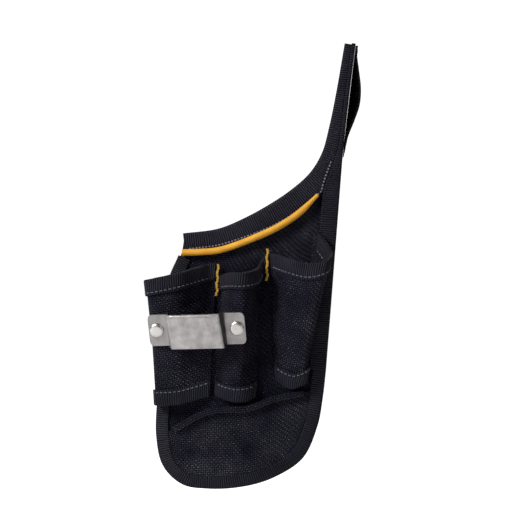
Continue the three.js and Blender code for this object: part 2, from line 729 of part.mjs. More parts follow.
function roundedRect(left, right, low, high, radii) {
  const [lowLeft, lowRight, highRight, highLeft] = radii;
  const shape = new THREE.Shape();
  shape.moveTo(left + lowLeft, low);
  shape.lineTo(right - lowRight, low);
  shape.quadraticCurveTo(right, low, right, low + lowRight);
  shape.lineTo(right, high - highRight);
  shape.quadraticCurveTo(right, high, right - highRight, high);
  shape.lineTo(left + highLeft, high);
  shape.quadraticCurveTo(left, high, left, high - highLeft);
  shape.lineTo(left, low + lowLeft);
  shape.quadraticCurveTo(left, low, left + lowLeft, low);
  return shape;
}

function rivetCylinder(radius, low, high) {
  const cylinder = new THREE.CylinderGeometry(radius, radius, high - low, 20);
  return cylinder.rotateX(Math.PI / 2).translate(0, 0, (high + low) / 2);
}

function steelClip() {
  const reach = CLIP_LENGTH / 2;
  const foot = PLATE_END + BEND;
  const top = CLIP_RISE + CLIP_SHEET;
  const profile = new THREE.Shape();
  profile.moveTo(-foot - 3, 0);
  profile.lineTo(-foot, 0);
  profile.lineTo(-PLATE_END - 0.5, CLIP_RISE);
  profile.lineTo(PLATE_END + 0.5, CLIP_RISE);
  profile.lineTo(foot, 0);
  profile.lineTo(foot + 3, 0);
  profile.lineTo(foot + 3, CLIP_SHEET);
  profile.lineTo(foot + 0.8, CLIP_SHEET);
  profile.lineTo(PLATE_END, top);
  profile.lineTo(-PLATE_END, top);
  profile.lineTo(-foot - 0.8, CLIP_SHEET);
  profile.lineTo(-foot - 3, CLIP_SHEET);
  const bridge = new THREE.ExtrudeGeometry(profile, { depth: PLATE_HEIGHT, bevelEnabled: false });
  bridge.rotateX(Math.PI / 2).translate(0, PLATE_HEIGHT / 2, 0);
  const tabOptions = { depth: CLIP_SHEET, bevelEnabled: false, curveSegments: 4 };
  const [low, high] = [-TAB_HEIGHT / 2, TAB_HEIGHT / 2];
  const leftTab = new THREE.ExtrudeGeometry(
    roundedRect(-reach, -foot - 1, low, high, [3, 0.4, 0.4, 3]), tabOptions,
  );
  const rightTab = new THREE.ExtrudeGeometry(
    roundedRect(foot + 1, reach, low, high, [0.4, 3, 3, 0.4]), tabOptions,
  );
  const lip = new THREE.BoxGeometry(2 * PLATE_END - 3, LIP.wide, LIP.thick);
  lip.translate(0, (PLATE_HEIGHT - LIP.wide) / 2, top + LIP.thick / 2 - 0.05);
  let solid = toSolid(bridge).add(toSolid(leftTab)).add(toSolid(rightTab)).add(toSolid(lip));
  for (const side of [-1, 1]) {
    const hole = rivetCylinder(RIVET_SHANK + GAP, -2, 4).translate(side * RIVET_REACH, 0, 0);
    solid = solid.subtract(toSolid(hole));
  }
  return fromSolid(solid).applyMatrix4(clipFrame);
}

// How far below the tabs the inner face of the wall lies round a rivet.
function wallDepth(side) {
  const depths = [];
  for (const radius of [2.4, 3.1]) {
    for (let k = 0; k < 12; k += 1) {
      const angle = (k / 12) * 2 * Math.PI;
      const [a, b] = [side * RIVET_REACH + radius * Math.cos(angle), radius * Math.sin(angle)];
      const hits = wallHits(a, b);
      depths.push(...hits.filter((level) => level > hits[0] - 5));
    }
  }
  return Math.min(...depths) - seatOff;
}

function rivet(side, depth) {
  const [base, rise] = [CLIP_SHEET + GAP, 1.7];
  const profile = [
    [0, depth - 1.6], [RIVET_SHANK, depth - 1.6], [RIVET_SHANK, base], [RIVET_HEAD, base],
    [RIVET_HEAD, base + rise * 0.6], [RIVET_HEAD - 0.8, base + rise], [0, base + rise],
  ];
  const turned = new THREE.LatheGeometry(profile.map(([x, y]) => new THREE.Vector2(x, y)), 20);
  return turned.rotateX(Math.PI / 2).translate(side * RIVET_REACH, 0, 0).applyMatrix4(clipFrame);
}

function burr(side, depth) {
  const [inner, outerRadius, thick] = [RIVET_SHANK + GAP, 3, 0.8];
  const top = depth - GAP;
  const profile = [
    [inner, top - thick], [outerRadius, top - thick], [outerRadius, top], [inner, top],
    [inner, top - thick],
  ];
  const turned = new THREE.LatheGeometry(profile.map(([x, y]) => new THREE.Vector2(x, y)), 20);
  return turned.rotateX(Math.PI / 2).translate(side * RIVET_REACH, 0, 0).applyMatrix4(clipFrame);
}

add("tape_clip", steelClip(), STEEL);
for (const [side, name] of [[-1, "front"], [1, "middle"]]) {
  const depth = wallDepth(side);
  const hole = rivetCylinder(RIVET_SHANK + GAP, depth - 3, 4).translate(side * RIVET_REACH, 0, 0);
  const drilled = toSolid(walls[name]).subtract(toSolid(hole.applyMatrix4(clipFrame)));
  add(`${name}_sleeve_near`, fromSolid(drilled), NYLON);
  add(`${name}_sleeve_far`, mirrored(walls[name]), NYLON);
  add(`${name}_rivet`, rivet(side, depth), RIVET_STEEL);
  add(`${name}_rivet_burr`, burr(side, depth), RIVET_STEEL);
}
addBothSides("back_sleeve", walls.back, NYLON);

export default pouch;
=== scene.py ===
# Electrician's tool pouch: the cloth, bindings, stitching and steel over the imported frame.
# Shapes are in millimetres in the pouch's own axes: the hip plane is x = 0, the front is -x, and
# the side with the clip faces -y. place() turns them into metres in the row frame.
import math

import bpy
import numpy as np
from mathutils import Matrix, Vector


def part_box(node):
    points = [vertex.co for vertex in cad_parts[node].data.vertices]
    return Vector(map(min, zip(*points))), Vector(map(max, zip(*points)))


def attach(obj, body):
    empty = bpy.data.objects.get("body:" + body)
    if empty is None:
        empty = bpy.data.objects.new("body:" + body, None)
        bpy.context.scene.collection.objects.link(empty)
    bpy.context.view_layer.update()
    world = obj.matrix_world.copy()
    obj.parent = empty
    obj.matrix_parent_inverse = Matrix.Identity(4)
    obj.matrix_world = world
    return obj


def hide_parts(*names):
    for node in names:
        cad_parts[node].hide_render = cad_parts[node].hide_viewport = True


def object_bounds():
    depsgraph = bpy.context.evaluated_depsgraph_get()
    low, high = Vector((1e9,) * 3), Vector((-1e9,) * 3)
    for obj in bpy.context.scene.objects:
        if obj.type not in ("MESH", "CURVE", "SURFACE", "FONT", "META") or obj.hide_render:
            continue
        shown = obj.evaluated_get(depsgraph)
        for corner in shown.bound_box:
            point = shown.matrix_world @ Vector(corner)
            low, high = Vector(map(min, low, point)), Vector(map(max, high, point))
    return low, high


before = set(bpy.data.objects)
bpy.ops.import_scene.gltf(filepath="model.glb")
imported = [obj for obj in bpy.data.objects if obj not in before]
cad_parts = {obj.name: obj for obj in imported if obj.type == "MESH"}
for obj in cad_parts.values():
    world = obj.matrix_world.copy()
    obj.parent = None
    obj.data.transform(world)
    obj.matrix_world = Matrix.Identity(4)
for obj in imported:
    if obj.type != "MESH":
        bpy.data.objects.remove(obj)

cad_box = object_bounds()

# ---- driving dimensions
GAP = 0.3  # clearance between pieces that touch
PANEL = 1.8  # thickness of the side panels
WALL = 1.4  # of the sleeves
TAPE = 0.9  # of the binding tape
FLANGE = 1.2  # of the gusset
FOLD = GAP + TAPE
CUT = FOLD + 0.4
STACK = PANEL + GAP + FLANGE
BACK_HALF = 28.5
FRONT_HALF = 12.5
NECK_HALF = 25
BOTTOM_SHARE = 0.28
BELLY = 2.5  # outward crown of the side panels
POUCH_DEPTH = 112
NECK_TOP = 124
SHOULDER_START, SHOULDER_END = -20, 80
NECK_START = 45
NECK_LEAN = 2.9
BACK_END = -95
BOTTOM = -182.5
LOW_START = -60
EDGE_START, EDGE_END = 0.046, 0.9997
GUSSET_START, GUSSET_END = 0.006, 0.994
EDGE_TAPE = 9
MOUTH_BAND = 11
MOUTH_BAND_WIDE = 14.2
BAND_WIDENS = (-80, -40)  # x between which it does
INNER_LEG_STARTS = (-87, -78)
BAND_ROW = (0.01, 0.6)
BACK_TAPE = 11.5
HIP_LEG = 9
RIM = 3.3  # width of the back tape beside the neck
RIM_TOP = 2.7
RIM_START, RIM_END = 18, 60
SEAM_FIN = 9.5  # how far the gusset's seam stands out inside
SEAM_FIN_END = 2
PLATEAU = 2.4
REBATE = 1.2
BOARD = 1.6
LINING = 0.9
BACK_THICK = PLATEAU + GAP + BOARD + GAP + LINING
PIPING_RADIUS = 2.25
PIPING_THIN = 0.55
LOOP_HALF = 19
WEBBING = 1.6
LOOP_END, LOOP_THIN, LOOP_SUNK = 0.12, 0.35, 0.6  # its low end thins and sinks under the bartack
LOOP_BARTACKS = {"top": 0.045, "low": 0.945}
SLACK = 0.45  # clearance of the sleeves' and pocket's tapes
SLEEVE_BELLY = 0.12
SLEEVE_TAPE = 9.5
CLIP_SHEET = 1.2
CLIP_RISE = 5.5
CLIP_LENGTH = 66
TAB_HEIGHT = 21.8
PLATE_HEIGHT = 23.6
PLATE_END = 17.2
BEND = 1.9
PLATE_SKEW = 0.08
RIVET_HEAD = 4.7
RIVET_REACH = CLIP_LENGTH / 2 - 5.6
POCKET_STAND = 3
POCKET_RIPPLE = 0.35
ROLL = 1.9
HEM_DEEP = 3
HEM_ROW = 2.2
NECK_LEG = 9
NECK_SLOPE = 0.045
TAPE_ROW = 1.3  # how far a tape's stitches are from its edge
SLEEVE_ROW = 7.6
PROUD = 0.05  # how far stitches stand off the tape under them
THREAD_DIP = 0.45
TAB_CORNER = 3
CLIP_GAP = 0.25
LIP_RADIUS = 0.95
FLOOR_DROP = 0.06

MOUTH = [
    (-104, -11), (-80, -6), (-63.5, 2), (-48.5, 11.5), (-33, 23.5), (-21, 36),
    (-14, 50), (-10.5, 68), (-7.5, 92), (-4.5, NECK_TOP),
]
FRONT_BOTTOM = [
    (-104, -11), (-105.5, -25), (-110.8, -41), (-112.5, -70), (-113, -120), (-111.8, -150),
    (-105.5, -170), (-91.5, -181.3), (-74, BOTTOM), (-55, -180), (-30, -170.8), (-11, -155.5),
    (-2.8, -133), (-0.6, -112), (0, BACK_END),
]
FRONT_CORNER = 0.43
PIPING = [(-103, -24), (-90, -22.6), (-76.5, -20), (-51, -8.5), (-38, -1), (-25.5, 9), (-14.5, 21.5)]
POCKET_TOP = [(-76, -128.5), (-50, -124), (-33, -116)]
POCKET_EDGES = (0.415, 0.46, 0.87, 0.955)
LOOP_PATH = [
    (3.8, 123.5), (3.8, 117), (5.6, 108), (8.1, 95), (8.1, 84), (5.6, 74), (1.9, 62), (1.2, 56), (1.1, 50),
]
SLEEVES = {
    "front": dict(
        taped=(0.13, 1),
        top=[
            (-98, 0.5, -41), (-103, 3, -41.8), (-113, 8, -44), (-123, 13, -46),
            (-124.4, 18.6, -45.6), (-116, 21.5, -43.2), (-103, 18.5, -39), (-90, 7.5, -34),
            (-83, 2, -31.6), (-79, 1.7, -30.3),
        ],
        bottom=[
            (-98, 0.5, -125), (-101, 2, -125.4), (-105, 3.2, -126), (-111.8, 4, -126.8),
            (-113, 6.4, -126.9), (-108, 7.6, -126.4), (-98, 6.4, -125), (-87, 3.6, -121.3),
            (-80, 1.9, -118.7), (-77, 1.7, -117.8),
        ],
    ),
    "middle": dict(
        taped=(0, 1),
        top=[
            (-76, 1.7, -38.6), (-74.2, 2.1, -38.3), (-71.5, 9, -37.3), (-67, 19, -36),
            (-60, 23.5, -35.3), (-53.5, 19.5, -33.6), (-50, 10, -31.5), (-48.6, 3, -27.5),
            (-47.6, 1.9, -25), (-46.4, 1.7, -22.5),
        ],
        bottom=[
            (-73.5, 1.7, -116.5), (-72, 2, -117), (-69, 3.5, -118), (-64, 5.5, -119.2),
            (-59, 6.2, -119.6), (-54, 5.3, -119), (-50, 3.5, -117.8), (-47.8, 2.1, -116.4),
            (-46.6, 1.8, -115.8), (-45.4, 1.7, -115.2),
        ],
    ),
    "back": dict(
        taped=(0, 0.985),
        top=[
            (-43.5, 1.7, -20.6), (-41.8, 2, -21), (-37, 8, -22.3), (-29, 14.5, -24.2),
            (-17, 19, -26), (-9.5, 20.6, -24.4), (-4.2, 19, -21.5), (-2.6, 14.6, -17.5),
            (-8, 6.5, -9.2), (-14.2, 0.5, -3.4),
        ],
        bottom=[
            (-33.5, 1.7, -102.5), (-32, 2, -103), (-29.5, 3.2, -105), (-26, 4.5, -106.5),
            (-21.5, 5.8, -107.3), (-17, 6.4, -105.5), (-13.6, 5.8, -103.4), (-13, 4.2, -102.2),
            (-14.6, 2.2, -101.4), (-17.2, 0.5, -100.6),
        ],
    ),
}
RETURN = (0.66, 0.94)  # where the back sleeve's top tape shows its inner leg
RETURN_ROW = (0.77, 0.93)
BARTACK_WIDTH = 1.8
BARTACK_OFF = 3.3
BARTACK_SEED = 11
BARTACKS = {"front": [(-77.6, -30), (-77.1, -51)], "back": [(-45.2, -17), (-44.1, -38)]}


# ---- shape functions
def smooth(value, low, high):
    t = np.clip((value - low) / (high - low), 0, 1)
    return t * t * (3 - 2 * t)


def lerp(a, b, t):
    return a + (b - a) * t


def unit(vectors):
    return vectors / np.linalg.norm(vectors, axis=-1, keepdims=True)


def hip_x(z):
    return NECK_LEAN * np.clip((z - NECK_START) / (NECK_TOP - NECK_START), 0, 1) ** 1.4


def half_width(x, z):
    forward = np.clip(-x / POUCH_DEPTH, 0, 1)
    low = np.clip((LOW_START - z) / (LOW_START - BOTTOM), 0, 1)
    high = smooth(z, SHOULDER_START, SHOULDER_END)
    straight = lerp(BACK_HALF, FRONT_HALF, forward) + BELLY * np.sin(math.pi * forward)
    return straight * (1 - BOTTOM_SHARE * low * low) - (BACK_HALF - NECK_HALF) * high


def on_side(x, z, off):
    return np.stack(np.broadcast_arrays(x, -(half_width(x, z) + off), z), -1)


def rim_width(z):
    """The back tape's width on the side: narrow beside the neck, full below the shoulder."""
    neck = np.clip((z - RIM_END) / (NECK_TOP - RIM_END), 0, 1)
    return lerp(BACK_TAPE, lerp(RIM, RIM_TOP, neck), smooth(z, RIM_START, RIM_END))


def fin_at(t):
    return lerp(SEAM_FIN, SEAM_FIN_END, smooth(t, 0.86, 1))


class Curve:
    """A centripetal spline through its knots, measured by its length from 0 to 1."""

    def __init__(self, knots):
        p = np.array(knots, float)
        p = np.vstack([2 * p[0] - p[1], p, 2 * p[-1] - p[-2]])
        points = []
        for a, b, c, d in zip(p, p[1:], p[2:], p[3:]):
            t0, t1 = 0.0, math.sqrt(np.linalg.norm(b - a))
            t2 = t1 + math.sqrt(np.linalg.norm(c - b))
            t3 = t2 + math.sqrt(np.linalg.norm(d - c))
            t = np.linspace(t1, t2, 60, endpoint=False)[:, None]

            def blend(p0, p1, start, end):
                return ((end - t) * p0 + (t - start) * p1) / (end - start)

            ab, bc, cd = blend(a, b, t0, t1), blend(b, c, t1, t2), blend(c, d, t2, t3)
            points.append(blend(blend(ab, bc, t0, t2), blend(bc, cd, t1, t3), t1, t2))
        self.points = np.vstack(points + [p[-2:-1]])
        steps = np.linalg.norm(np.diff(self.points, axis=0), axis=1)
        run = np.concatenate([[0], np.cumsum(steps)])
        self.share = run / run[-1]

    def at(self, t):
        return np.stack([np.interp(t, self.share, column) for column in self.points.T], -1)

    def tangent(self, t):
        reach = 0.004
        return unit(self.at(np.clip(t + reach, 0, 1)) - self.at(np.clip(t - reach, 0, 1)))


class Stations:
    """Places along part of a curve in the side view, each with its outward direction."""

    def __init__(self, curve, start, end, count, turn, inset=0.0):
        self.t = np.linspace(start, end, count + 1)
        along = curve.tangent(self.t)
        self.ex, self.ez = -turn * along[:, 1], turn * along[:, 0]
        points = curve.at(self.t)
        self.x = points[:, 0] - inset * self.ex
        self.z = points[:, 1] - inset * self.ez

    def beside(self, e, off):
        e, off = np.asarray(e, float), np.asarray(off, float)
        column = (slice(None),) + (None,) * (max(e.ndim, off.ndim, 1) - 1)
        return on_side(self.x[column] + e * self.ex[column], self.z[column] + e * self.ez[column], off)

    def sections(self, section):
        """The rings of a sweep, where section(k) is the outline at station k in (e, off)."""
        outlines = np.array([section(k) for k in range(len(self.t))])
        return self.beside(outlines[..., 0], outlines[..., 1])


def fillet(points, radius, steps=4):
    """A closed outline with its corners rounded; radius is one number or one for each corner."""
    points = np.array(points, float)
    radii = np.broadcast_to(radius, len(points))
    result = []
    for before, corner, after, r in zip(np.roll(points, 1, 0), points, np.roll(points, -1, 0), radii):
        back, ahead = before - corner, after - corner
        a = corner + back * min(r / max(np.linalg.norm(back), 1e-6), 0.48)
        b = corner + ahead * min(r / max(np.linalg.norm(ahead), 1e-6), 0.48)
        for t in np.linspace(0, 1, steps + 1):
            result.append((1 - t) ** 2 * a + 2 * t * (1 - t) * corner + t * t * b)
    return np.array(result)


# ---- meshes
hip_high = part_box("hip_panel")[1]
ORIGIN = np.array([
    hip_high.x * 1000 - hip_x(NECK_TOP - FOLD), 0, hip_high.z * 1000 - (NECK_TOP - FOLD),
])

CLIP_ALONG = Vector((0.975, -0.17, 0.11)).normalized()
CLIP_OUT = Vector((-0.19, -0.93, -0.28))
CLIP_OUT = (CLIP_OUT - CLIP_ALONG * CLIP_OUT.dot(CLIP_ALONG)).normalized()
CLIP_UP = CLIP_OUT.cross(CLIP_ALONG)
clip_points = [v.co * 1000 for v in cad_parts["tape_clip"].data.vertices]


def clip_middle():
    """The middle of the clip, at the level of its tabs' inner face, in the pouch's own axes."""
    middle = Vector()
    for axis, share in ((CLIP_ALONG, 0.5), (CLIP_UP, 0.5), (CLIP_OUT, 0.0)):
        reach = [p.dot(axis) for p in clip_points]
        middle += axis * lerp(min(reach), max(reach), share)
    return np.array(middle) - ORIGIN


CLIP_SEAT = clip_middle()

SAG = 0.28  # how far each wave moves the cloth from its drawn shape
STILL = (30, 48)  # distances from the clip between which the waves set in
WAVES = (  # radians to a millimetre along each axis, and a start
    (0.12, 0.05, 0.05, 0.4), (-0.09, 0.03, 0.08, 1.9), (0.20, 0.02, -0.06, 3.1), (0.13, 0.04, 0.11, 5.2),
)


def sagged(points):
    """The cloth's small unevenness, the same for every layer at a place, and none at the clip."""
    result = points.copy()
    wander = sum(np.sin(points @ wave[:3] + wave[3]) for wave in np.array(WAVES))
    from_clip = np.hypot(points[:, 0] - CLIP_SEAT[0], points[:, 2] - CLIP_SEAT[2])
    still = np.where(points[:, 1] < 0, 1 - smooth(from_clip, *STILL), 0)
    result[:, 1] += SAG * (1 - still) * wander
    return result


def place(points, soft=True):
    flat = np.asarray(points, float).reshape(-1, 3)
    return ((sagged(flat) if soft else flat) + ORIGIN) / 1000


def run_along(points, axis):
    """Distance covered along one axis of a grid of points."""
    steps = np.linalg.norm(np.diff(points, axis=axis), axis=-1)
    start = np.zeros_like(np.take(steps, [0], axis=axis))
    return np.cumsum(np.concatenate([start, steps], axis=axis), axis=axis)


class Shape:
    """Vertices, faces and the cloth's own coordinates, in millimetres, at each face's corners."""

    def __init__(self, points, faces, cloth):
        self.points = np.asarray(points, float).reshape(-1, 3)
        self.faces, self.cloth = faces, cloth
        corners = np.array([(f[0], f[k], f[k + 1]) for f in faces for k in range(1, len(f) - 1)])
        a, b, c = (self.points[corners[:, k]] for k in range(3))
        if np.sum(a * np.cross(b, c)) < 0:
            self.faces = [face[::-1] for face in faces]
            self.cloth = [corner[::-1] for corner in cloth]

    def mirrored(self):
        return Shape(self.points * (1, -1, 1), self.faces, self.cloth)


def sweep(rings):
    """A solid through rings of the same number of points, closed at both ends."""
    rings = np.asarray(rings, float)
    count, size, _ = rings.shape
    along = run_along(rings, 0).mean(axis=1)
    around = run_along(np.concatenate([rings, rings[:, :1]], axis=1), 1)
    around -= around.mean(axis=1, keepdims=True)
    faces, cloth = [], []
    for k in range(count - 1):
        for j in range(size):
            n = (j + 1) % size
            faces.append((k * size + j, k * size + n, (k + 1) * size + n, (k + 1) * size + j))
            cloth.append((
                (along[k], around[k, j]), (along[k], around[k, j + 1]),
                (along[k + 1], around[k + 1, j + 1]), (along[k + 1], around[k + 1, j]),
            ))
    last = (count - 1) * size
    for ring, start in ((range(size - 1, -1, -1), 0), (range(size), last)):
        k = start // size
        faces.append(tuple(start + j for j in ring))
        cloth.append(tuple((along[k], around[k, j]) for j in ring))
    return Shape(rings, faces, cloth)


def sheet(outer, inner):
    """A closed sheet between two grids; its weave follows the outer grid's own length and width."""
    outer, inner = np.asarray(outer, float), np.asarray(inner, float)
    rows, columns, _ = outer.shape
    u, v = run_along(outer, 0), run_along(outer, 1)
    u = u - u[rows // 2]
    v = v - v[:, columns // 2:columns // 2 + 1]
    total = rows * columns

    faces, cloth = [], []

    def quad(*corners):
        faces.append(tuple(layer * total + i * columns + j for i, j, layer in corners))
        cloth.append(tuple((u[i, j], v[i, j]) for i, j, _ in corners))

    for i in range(rows - 1):
        for j in range(columns - 1):
            quad((i, j, 0), (i + 1, j, 0), (i + 1, j + 1, 0), (i, j + 1, 0))
            quad((i, j, 1), (i, j + 1, 1), (i + 1, j + 1, 1), (i + 1, j, 1))
    end = columns - 1
    for i in range(rows - 1):
        quad((i, 0, 0), (i, 0, 1), (i + 1, 0, 1), (i + 1, 0, 0))
        quad((i, end, 0), (i + 1, end, 0), (i + 1, end, 1), (i, end, 1))
    end = rows - 1
    for j in range(columns - 1):
        quad((0, j, 0), (0, j + 1, 0), (0, j + 1, 1), (0, j, 1))
        quad((end, j, 0), (end, j, 1), (end, j + 1, 1), (end, j + 1, 0))
    return Shape(np.concatenate([outer.reshape(-1, 3), inner.reshape(-1, 3)]), faces, cloth)


def threads(centres, along, out, length, radius, dip):
    """One small thread at each centre, running along, its ends sinking into the cloth by dip."""
    sides, strip = 6, 0.2
    angles = np.arange(sides) * 2 * math.pi / sides
    # Where each ring is along the thread, how thick it is and how much of the dip it takes.
    shares = ((-0.5, 0.4, 1), (-0.3, 1, 0.15), (0, 1.05, 0), (0.3, 1, 0.15), (0.5, 0.4, 1))
    points, faces, cloth = [], [], []
    for centre, t, n in zip(centres, along, out):
        across = np.cross(n, t)
        start = len(points)
        for share, size, sunk in shares:
            middle = centre + t * share * length - n * sunk * dip
            for a in angles:
                points.append(middle + radius * size * (across * math.cos(a) + n * math.sin(a)))
        for k in range(len(shares) - 1):
            for j in range(sides):
                n2 = (j + 1) % sides
                a, b = start + k * sides, start + (k + 1) * sides
                faces.append((a + j, a + n2, b + n2, b + j))
                lo, hi = shares[k][0] * length, shares[k + 1][0] * length
                left, right = j * strip, (j + 1) * strip
                cloth.append(((lo, left), (lo, right), (hi, right), (hi, left)))
        end = start + (len(shares) - 1) * sides
        faces.append(tuple(start + j for j in range(sides - 1, -1, -1)))
        faces.append(tuple(end + j for j in range(sides)))
        cloth += [((0, 0),) * sides] * 2
    return Shape(points, faces, cloth)


def stitches(path, out, pitch=3.1, length=2.5, radius=0.28):
    """A row of stitches along a path on the cloth, whose outward directions are out."""
    path, out = np.asarray(path, float), np.asarray(out, float)
    run = run_along(path, 0)
    middles = np.arange(pitch, run[-1] - pitch / 2, pitch)

    def read(row, places):
        return np.stack([np.interp(places, run, column) for column in row.T], -1)

    centres, normals = read(path, middles), read(out, middles)
    ahead = unit(read(path, middles + 0.5) - centres)
    normals = unit(normals - ahead * np.sum(normals * ahead, axis=-1, keepdims=True))
    return threads(centres, ahead, normals, length, radius, THREAD_DIP)


OUTWARD = np.array([0, -1, 0])


def side_stitches(path, **options):
    """A row of stitches on cloth that faces straight out to the side."""
    return stitches(path, np.broadcast_to(OUTWARD, path.shape), **options)


def linked(name, data):
    made = bpy.data.objects.new(name, data)
    bpy.context.scene.collection.objects.link(made)
    return made


def make(name, shape, look, nodes=(), soft=True, sharp=38):
    mesh = bpy.data.meshes.new(name)
    mesh.from_pydata(place(shape.points, soft).tolist(), [], shape.faces)
    layer = mesh.uv_layers.new(name="cloth")
    layer.data.foreach_set("uv", np.array([c for face in shape.cloth for c in face], float).ravel())
    mesh.polygons.foreach_set("use_smooth", [True] * len(mesh.polygons))
    mesh.set_sharp_from_angle(angle=math.radians(sharp))
    mesh.validate()
    piece = linked(name, mesh)
    mesh.materials.append(LOOKS[look])
    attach(piece, "root")
    if nodes:
        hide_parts(*nodes)
    return piece


def both(name, shape, look, node=None, **options):
    for side, one in (("near", shape), ("far", shape.mirrored())):
        nodes = [f"{node}_{side}"] if node else []
        make(f"{name}_{side}", one, look, nodes, **options)


# ---- materials
class Nodes:
    """Short ways to add nodes to a material. Most of them return an output to go on from."""

    def __init__(self, name):
        self.material = bpy.data.materials.new(name)
        self.material.use_nodes = True
        self.tree = self.material.node_tree
        self.shader = self.tree.nodes["Principled BSDF"]

    def node(self, kind, inputs=(), **settings):
        made = self.tree.nodes.new("ShaderNode" + kind)
        for key, value in settings.items():
            setattr(made, key, value)
        for key, value in dict(inputs).items():
            self.feed(made.inputs[key], value)
        return made

    def feed(self, socket, value):
        if isinstance(value, bpy.types.NodeSocket):
            self.tree.links.new(value, socket)
        else:
            socket.default_value = (*value, 1.0) if socket.type == "RGBA" else value

    def math(self, operation, a, b=0.0):
        return self.node("Math", {0: a, 1: b}, operation=operation).outputs[0]

    def add(self, a, b):
        return self.math("ADD", a, b)

    def times(self, a, b):
        return self.math("MULTIPLY", a, b)

    def ridges(self, value, rate):
        """Round ridges: the absolute sine of value times rate."""
        return self.math("ABSOLUTE", self.math("SINE", self.times(value, rate)))

    def noise(self, vector, scale, detail):
        made = self.node("TexNoise", {"Vector": vector, "Scale": scale, "Detail": detail})
        return made.outputs[0]

    def ramp(self, value, low, high, start, end):
        made = self.node("MapRange", {0: value, 1: start, 2: end, 3: low, 4: high})
        return made.outputs[0]

    def mix(self, share, a, b):
        made = self.node("Mix", data_type="RGBA")
        self.feed(made.inputs[0], share)
        self.feed(made.inputs[6], a)
        self.feed(made.inputs[7], b)
        return made.outputs[2]

    def cloth(self):
        """The cloth's own coordinates in millimetres: along and across."""
        uv = self.node("UVMap", uv_map="cloth").outputs[0]
        split = self.node("SeparateXYZ", {0: uv})
        return uv, split.outputs[0], split.outputs[1]

    def place(self):
        return self.node("TexCoord").outputs["Object"]

    def bump(self, height, strength, distance):
        made = self.node("Bump", {"Strength": strength, "Distance": distance, "Height": height})
        self.feed(self.shader.inputs["Normal"], made.outputs[0])

    def set(self, **values):
        for key, value in values.items():
            self.feed(self.shader.inputs[key.replace("_", " ")], value)


PAINTED_HIGHLIGHT_LOW = (-0.262, -0.225)  # heights in metres between which the weave's painted highlight grows stronger
PAINTED_HIGHLIGHT_HIGH = (-0.128, -0.110)


def weave_look(name, cell, dark, light, rough, strength, shine=0.75):
    """A basket weave of paired yarns, each crest smoother than the hollows and painted paler: a painted
    highlight.
    """
    n = Nodes(name)
    uv, u, v = n.cloth()
    drift = n.ramp(n.noise(uv, 0.05, 3.0), -0.25, 0.25, 0.3, 0.7)
    across = n.math("DIVIDE", n.add(u, drift), cell)
    along = n.math("DIVIDE", n.add(v, drift), cell)
    total = n.add(n.math("FLOOR", across), n.math("FLOOR", along))
    parity = n.math("PINGPONG", total, 1.0)

    def yarns(length, width):
        ridge = n.add(n.times(n.ridges(width, 2 * math.pi), 0.45), 0.55)
        return n.times(n.ridges(length, math.pi), ridge)

    warp = n.times(yarns(along, across), parity)
    weft = n.times(yarns(across, along), n.math("SUBTRACT", 1.0, parity))
    height = n.add(warp, n.times(weft, 0.55))
    fuzz = n.noise(n.place(), 2600.0, 2.0)
    patches = n.ramp(n.noise(n.place(), 55.0, 4.0), 0.0, 1.0, 0.3, 0.7)
    crest = n.math("POWER", height, 1.6)
    level = n.node("SeparateXYZ", {0: n.place()}).outputs[2]
    # Painted highlight: the crests are painted lighter, more so in noise patches and past the two pairs of
    # heights.
    painted_highlight_bands = n.add(n.ramp(level, 0.8, 0.0, *PAINTED_HIGHLIGHT_LOW), n.ramp(level, 0.0, 1.0, *PAINTED_HIGHLIGHT_HIGH))
    painted_highlight_strength = n.add(n.times(patches, n.add(painted_highlight_bands, 0.8)), 0.35)
    tone = n.times(crest, painted_highlight_strength)
    worn = n.mix(n.times(fuzz, 0.12), dark, light)
    n.set(
        Base_Color=n.mix(tone, worn, light),
        Roughness=n.ramp(height, rough + 0.25, rough, 0.0, 1.0),
        Specular_IOR_Level=n.times(n.times(crest, painted_highlight_strength), shine),
        Sheen_Weight=0.02, Sheen_Roughness=0.4,
    )
    n.bump(n.add(height, n.times(fuzz, 0.12)), strength, 0.0006 * cell)
    return n.material


def ribbed_look(name, rib, dark, light, rough, strength, shine=0.4):
    """Grosgrain or webbing: fine ribs over the whole width, with a slight slub."""
    n = Nodes(name)
    uv, u, v = n.cloth()
    drift = n.ramp(n.noise(uv, 0.09, 2.0), -0.3, 0.3, 0.3, 0.7)
    ridge = n.ridges(n.add(u, drift), math.pi / rib)
    grain = n.ridges(v, math.pi / 0.7)
    height = n.add(n.times(ridge, 0.85), n.times(grain, 0.15))
    fuzz = n.noise(n.place(), 2200.0, 2.0)
    patches = n.ramp(n.noise(n.place(), 70.0, 4.0), 0.25, 1.0, 0.3, 0.7)
    n.set(
        Base_Color=n.mix(n.times(height, patches), dark, light),
        Roughness=n.ramp(fuzz, rough, rough + 0.18, 0.2, 0.8),
        Specular_IOR_Level=n.times(height, shine),
        Sheen_Weight=0.02, Sheen_Roughness=0.45,
    )
    n.bump(n.add(height, n.times(fuzz, 0.15)), strength, 0.0005)
    return n.material


def cord_look(name, dark, light, twist, rough, strength, specular=0.35):
    """Thread or covered cord: slanting fibres along its length."""
    n = Nodes(name)
    _, u, v = n.cloth()
    slant = n.add(n.math("DIVIDE", u, twist), n.math("DIVIDE", v, twist))
    fibres = n.ridges(slant, math.pi)
    blotch = n.ramp(n.noise(n.place(), 120.0, 3.0), 0.0, 0.55, 0.3, 0.7)
    tone = n.add(n.times(fibres, 0.45), blotch)
    n.set(
        Base_Color=n.mix(tone, dark, light),
        Roughness=n.ramp(fibres, rough + 0.15, rough, 0.0, 1.0),
        Sheen_Weight=0.1, Sheen_Roughness=0.4, Specular_IOR_Level=specular,
    )
    n.bump(fibres, strength, 0.0002)
    return n.material


